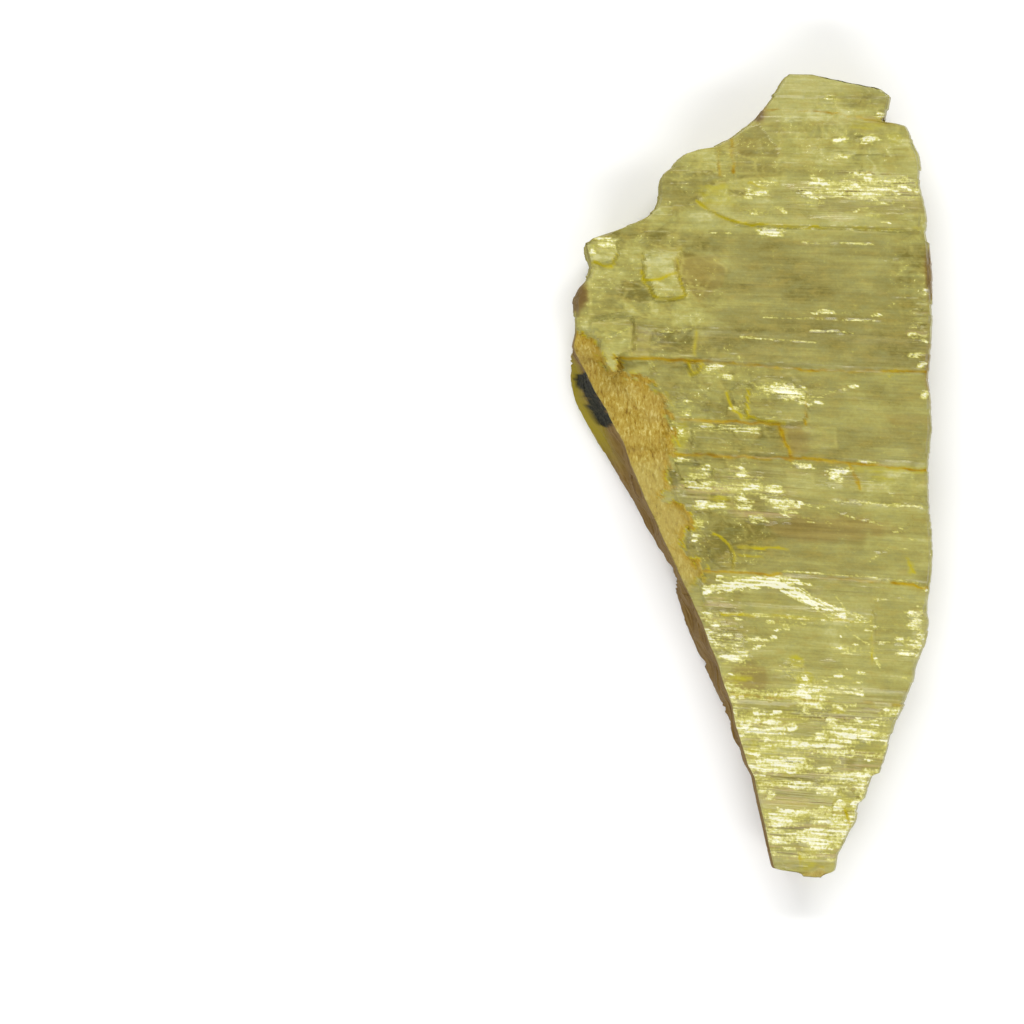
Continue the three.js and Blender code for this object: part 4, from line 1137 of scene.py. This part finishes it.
class Nodes:
    """Short way to add nodes to a material and join them."""

    def __init__(self, name):
        self.material = bpy.data.materials.new(name)
        self.material.use_nodes = True
        self.tree = self.material.node_tree
        self.shader = self.tree.nodes["Principled BSDF"]

    def add(self, kind, inputs, **settings):
        node = self.tree.nodes.new(kind)
        for key, value in settings.items():
            setattr(node, key, value)
        for key, value in inputs.items():
            self.put(node.inputs[key], value)
        return node

    def put(self, socket, value):
        if isinstance(value, bpy.types.NodeSocket):
            self.tree.links.new(value, socket)
        else:
            socket.default_value = value

    def noise(self, coordinates, stretch, detail=4.0, roughness=0.55, distortion=0.0, turn=0.0):
        """Noise with this many features for each unit along X, Y and Z, turned about Z."""
        turned = {"Vector": coordinates, "Rotation": (0, 0, turn), "Scale": stretch}
        texture = self.add("ShaderNodeTexNoise", {
            "Vector": self.add("ShaderNodeMapping", turned).outputs[0], "Scale": 1.0, "Detail": detail,
            "Roughness": roughness, "Distortion": distortion,
        })
        return texture.outputs["Fac"]

    def ramp(self, factor, stops):
        node = self.add("ShaderNodeValToRGB", {"Fac": factor})
        set_stops(node, stops)
        return node.outputs["Color"]

    def range(self, value, low, high, to_low=0.0, to_high=1.0):
        node = self.add(
            "ShaderNodeMapRange",
            {"Value": value, "From Min": low, "From Max": high, "To Min": to_low, "To Max": to_high},
        )
        return node.outputs["Result"]

    def mix(self, factor, first, second):
        inputs = {"Factor": factor, 6: first, 7: second}
        return self.add("ShaderNodeMix", inputs, data_type="RGBA").outputs[2]

    def tint(self, factor, first, name):
        """A colour with one of the TINTS over it."""
        return self.mix(factor, first, shown(*TINTS[name]))

    def math(self, operation, first, *others):
        """Values joined one after another by an operation."""
        for other in others:
            first = self.add("ShaderNodeMath", {0: first, 1: other}, operation=operation).outputs[0]
        return first

    def product(self, *values):
        return self.math("MULTIPLY", *values)

    def sum(self, *values):
        return self.math("ADD", *values)

    def most(self, *values):
        return self.math("MAXIMUM", *values)


def mineral_colour(n, mark, texture, amber):
    """The mineral in hazy and clear bands, with its stains, its seams painted as edge highlights and its
    yellow spots painted as glow from inside.
    """
    swings = [n.range(texture[name], low, high, -swing, swing) for name, low, high, swing in HAZE_SWINGS]
    veiled = n.product(n.range(texture["veil"], 0.3, 0.7, -0.22, 0.22), mark["flaky"])
    body = n.ramp(n.sum(mark["haze"], *swings, veiled), shades("body"))
    body = n.tint(n.range(texture["spots"], 0.52, 0.68, 0.0, 0.4), body, "warm")
    body = n.tint(n.range(texture["spots"], 0.48, 0.32, 0.0, 0.4), body, "cool")
    rose = n.product(n.range(texture["streak"], 0.5, 0.60), n.range(mark["streak"], 0.2, 0.7, 0.0, 0.7))
    body = n.tint(rose, body, "rose")
    lines = n.product(n.range(texture["fine"], 0.46, 0.34), n.range(mark["streak"], 0.1, 0.6, 0.0, 0.8))
    body = n.tint(lines, body, "line")
    body = n.mix(mark["stain"], body, amber)
    # Seams: highlights painted along the edges of blocks, panels and flakes
    body = n.tint(n.product(mark["seam"], 0.55), body, "seam")
    # Painted glow of light reflected inside the mineral, in saturated yellow
    gold = n.product(
        n.range(texture["spots"], 0.36, 0.56, 0.2, 1.0), n.range(texture["stroke"], 0.35, 0.6, 0.5, 1.0),
        mark["gold"],
    )
    return n.tint(gold, body, "gold")


def lit_colour(n, mark, texture, body):
    """The mineral with painted highlights (strokes, specks and sparkles of light), yellow rims painted as
    light through the sheet's edges, and orange cracks.
    """
    grain, veil = texture["grain"], texture["veil"]
    # Sparkles, specks and strokes are highlights painted into the colour
    sparkle = n.product(n.range(grain, 0.59, 0.70), n.range(veil, 0.50, 0.62), mark["flaky"])
    strokes = n.product(mark["shine"], n.range(texture["stroke"], 0.3, 0.68, 0.35, 1.7))
    highlight_specks = n.product(n.range(grain, 0.3, 0.7, -0.30, 0.30), n.range(mark["shine"], 0.0, 0.5, 0.1, 1.0))
    shine = n.most(n.range(n.sum(strokes, highlight_specks), 0.30, 1.0), sparkle)
    body = n.mix(n.range(shine, 0.0, 0.5), body, n.ramp(shine, shades("bright")))
    # Yellow rims: painted glow of light through the sheet's edges
    body = n.tint(mark["gilt"], body, "gilt")
    return n.mix(mark["crack"], body, n.ramp(texture["spots"], shades("crack")))


def bevel_colour(n, mark, texture):
    """The fibrous bevel: tan, paler and more olive lower down, with a painted yellow glow at its edge."""
    fibre = n.sum(texture["fibre"], n.range(mark["haze"], 0.0, 1.0, -0.08, 0.08))
    tan = n.ramp(fibre, shades("tan"))
    tan = n.tint(n.range(texture["cloud"], 0.4, 0.6, 0.0, 0.3), tan, "tan cloud")
    tan = n.tint(n.product(mark["olive"], 0.4), tan, "tan olive")
    tan = n.tint(n.range(texture["grain"], 0.66, 0.74, 0.0, 0.5), tan, "tan speck")
    return n.tint(n.product(mark["gilt"], 0.85), tan, "tan gilt")


def walled_colour(n, mark, texture, amber, body):
    """The face's colour with the layered walls, brown on the left, and the dark inclusion."""
    layered = n.mix(mark["stain"], n.ramp(texture["layer"], shades("layered")), amber)
    body = n.mix(mark["side"], body, layered)
    brown = n.tint(mark["olive"], n.ramp(texture["layer"], shades("brown")), "wall olive")
    body = n.mix(mark["wall"], body, brown)
    return n.mix(mark["dark"], body, n.ramp(texture["grain"], shades("dark")))


def orpiment_material():
    """Olive-yellow translucent mineral with tan fibrous and brown broken edges."""
    n = Nodes("orpiment")
    here = n.add("ShaderNodeAttribute", {}, attribute_name="flow").outputs["Vector"]
    mark = {name: n.add("ShaderNodeAttribute", {}, attribute_name=name).outputs["Fac"] for name in MARKS}
    texture = {name: n.noise(here, *settings) for name, settings in TEXTURES.items()}

    amber = n.ramp(texture["streak"], shades("amber"))
    body = mineral_colour(n, mark, texture, amber)
    body = lit_colour(n, mark, texture, body)
    body = n.mix(mark["bevel"], body, bevel_colour(n, mark, texture))
    body = walled_colour(n, mark, texture, amber, body)

    dull = n.most(mark["bevel"], mark["side"])
    matt = n.most(dull, n.product(mark["flaky"], 0.8), mark["ledge"], mark["gilt"])
    rough = n.range(texture["cloud"], 0.3, 0.7, *ROUGHNESS)
    rough = n.add("ShaderNodeMix", {"Factor": dull, "A": rough, "B": DULL_ROUGHNESS}).outputs[0]

    height = n.sum(
        n.product(texture["stroke"], n.range(mark["streak"], 0.0, 0.8, 0.3, 1.8)),
        n.product(texture["grain"], n.range(dull, 0.0, 1.0, 0.15, 0.8)),
        n.product(texture["fibre"], mark["bevel"], FIBRE_BUMP),
        n.product(texture["layer"], mark["side"], LAYER_BUMP),
    )
    bump = n.add("ShaderNodeBump", {"Height": height, "Strength": BUMP_STRENGTH, "Distance": BUMP_DEPTH * MM})

    settings = {
        "Base Color": body,
        "Roughness": rough,
        "Normal": bump.outputs["Normal"],
        "Subsurface Weight": n.range(dull, 0.0, 1.0, *GLOW),
        "Subsurface Radius": GLOW_COLOURS,
        "Subsurface Scale": GLOW_DEPTH * MM,
        "Specular IOR Level": n.range(matt, 0.0, 1.0, *GLOSS),
        "Specular Tint": GLOSS_TINT,
        "IOR": REFRACTION,
    }
    for name, value in settings.items():
        n.put(n.shader.inputs[name], value)
    return n.material


def floor_object():
    """Pale sheet under the specimen."""
    mesh = bpy.data.meshes.new("floor")
    corners = [(x * FLOOR_REACH, y * FLOOR_REACH, 0) for x, y in ((-1, -1), (1, -1), (1, 1), (-1, 1))]
    mesh.from_pydata(corners, [], [(0, 1, 2, 3)])
    n = Nodes("floor")
    here = n.add("ShaderNodeTexCoord", {}).outputs["Object"]
    grain = n.noise(here, FLOOR_GRAIN, 2.0)
    n.put(n.shader.inputs["Base Color"], n.ramp(grain, FLOOR_SHADES))
    n.shader.inputs["Roughness"].default_value = FLOOR_ROUGHNESS
    mesh.materials.append(n.material)
    floor = bpy.data.objects.new("floor", mesh)
    bpy.context.scene.collection.objects.link(floor)
    return floor


def add_light(name, place, size, power):
    """Soft rectangular lamp that faces the specimen."""
    data = bpy.data.lights.new(name, "AREA")
    data.shape = "RECTANGLE"
    data.size, data.size_y = size
    data.energy = power
    lamp = bpy.data.objects.new(name, data)
    lamp.location = place
    lamp.rotation_euler = (-Vector(place)).to_track_quat("-Z", "Y").to_euler()
    lamp.visible_camera = False
    bpy.context.scene.collection.objects.link(lamp)


def add_world():
    """Soft surroundings, darkest straight overhead."""
    world = bpy.data.worlds.new("studio")
    world.use_nodes = True
    tree = world.node_tree
    place = tree.nodes.new("ShaderNodeTexCoord")
    parts = tree.nodes.new("ShaderNodeSeparateXYZ")
    ramp = tree.nodes.new("ShaderNodeValToRGB")
    background = tree.nodes["Background"]
    tree.links.new(place.outputs["Generated"], parts.inputs[0])
    tree.links.new(parts.outputs["Z"], ramp.inputs["Fac"])
    tree.links.new(ramp.outputs["Color"], background.inputs["Color"])
    set_stops(ramp, [(height, (level, level, level, 1.0)) for height, level in WORLD_LEVELS])
    background.inputs["Strength"].default_value = WORLD_STRENGTH
    bpy.context.scene.world = world


def add_camera():
    """Camera straight over the specimen, as the photograph was taken."""
    data = bpy.data.cameras.new("camera")
    data.sensor_width = SENSOR
    data.lens = SENSOR * (CAMERA_HEIGHT - PICTURE_LEVEL) / PICTURE_WIDTH
    data.clip_start = CAMERA_NEAR
    camera = bpy.data.objects.new("camera", data)
    x, y = PICTURE_MIDDLE
    camera.location = (x * MM, y * MM, CAMERA_HEIGHT * MM)
    bpy.context.scene.collection.objects.link(camera)
    bpy.context.scene.camera = camera


add_camera()
slab = slab_object(Solid(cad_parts[NODE]))
slab.data.materials.append(orpiment_material())
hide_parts(NODE)
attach(slab, "root")

floor_object()
add_world()
for name, place, size, power in LAMPS:
    add_light(name, place, size, power)
bpy.context.scene.view_settings.view_transform = "Standard"
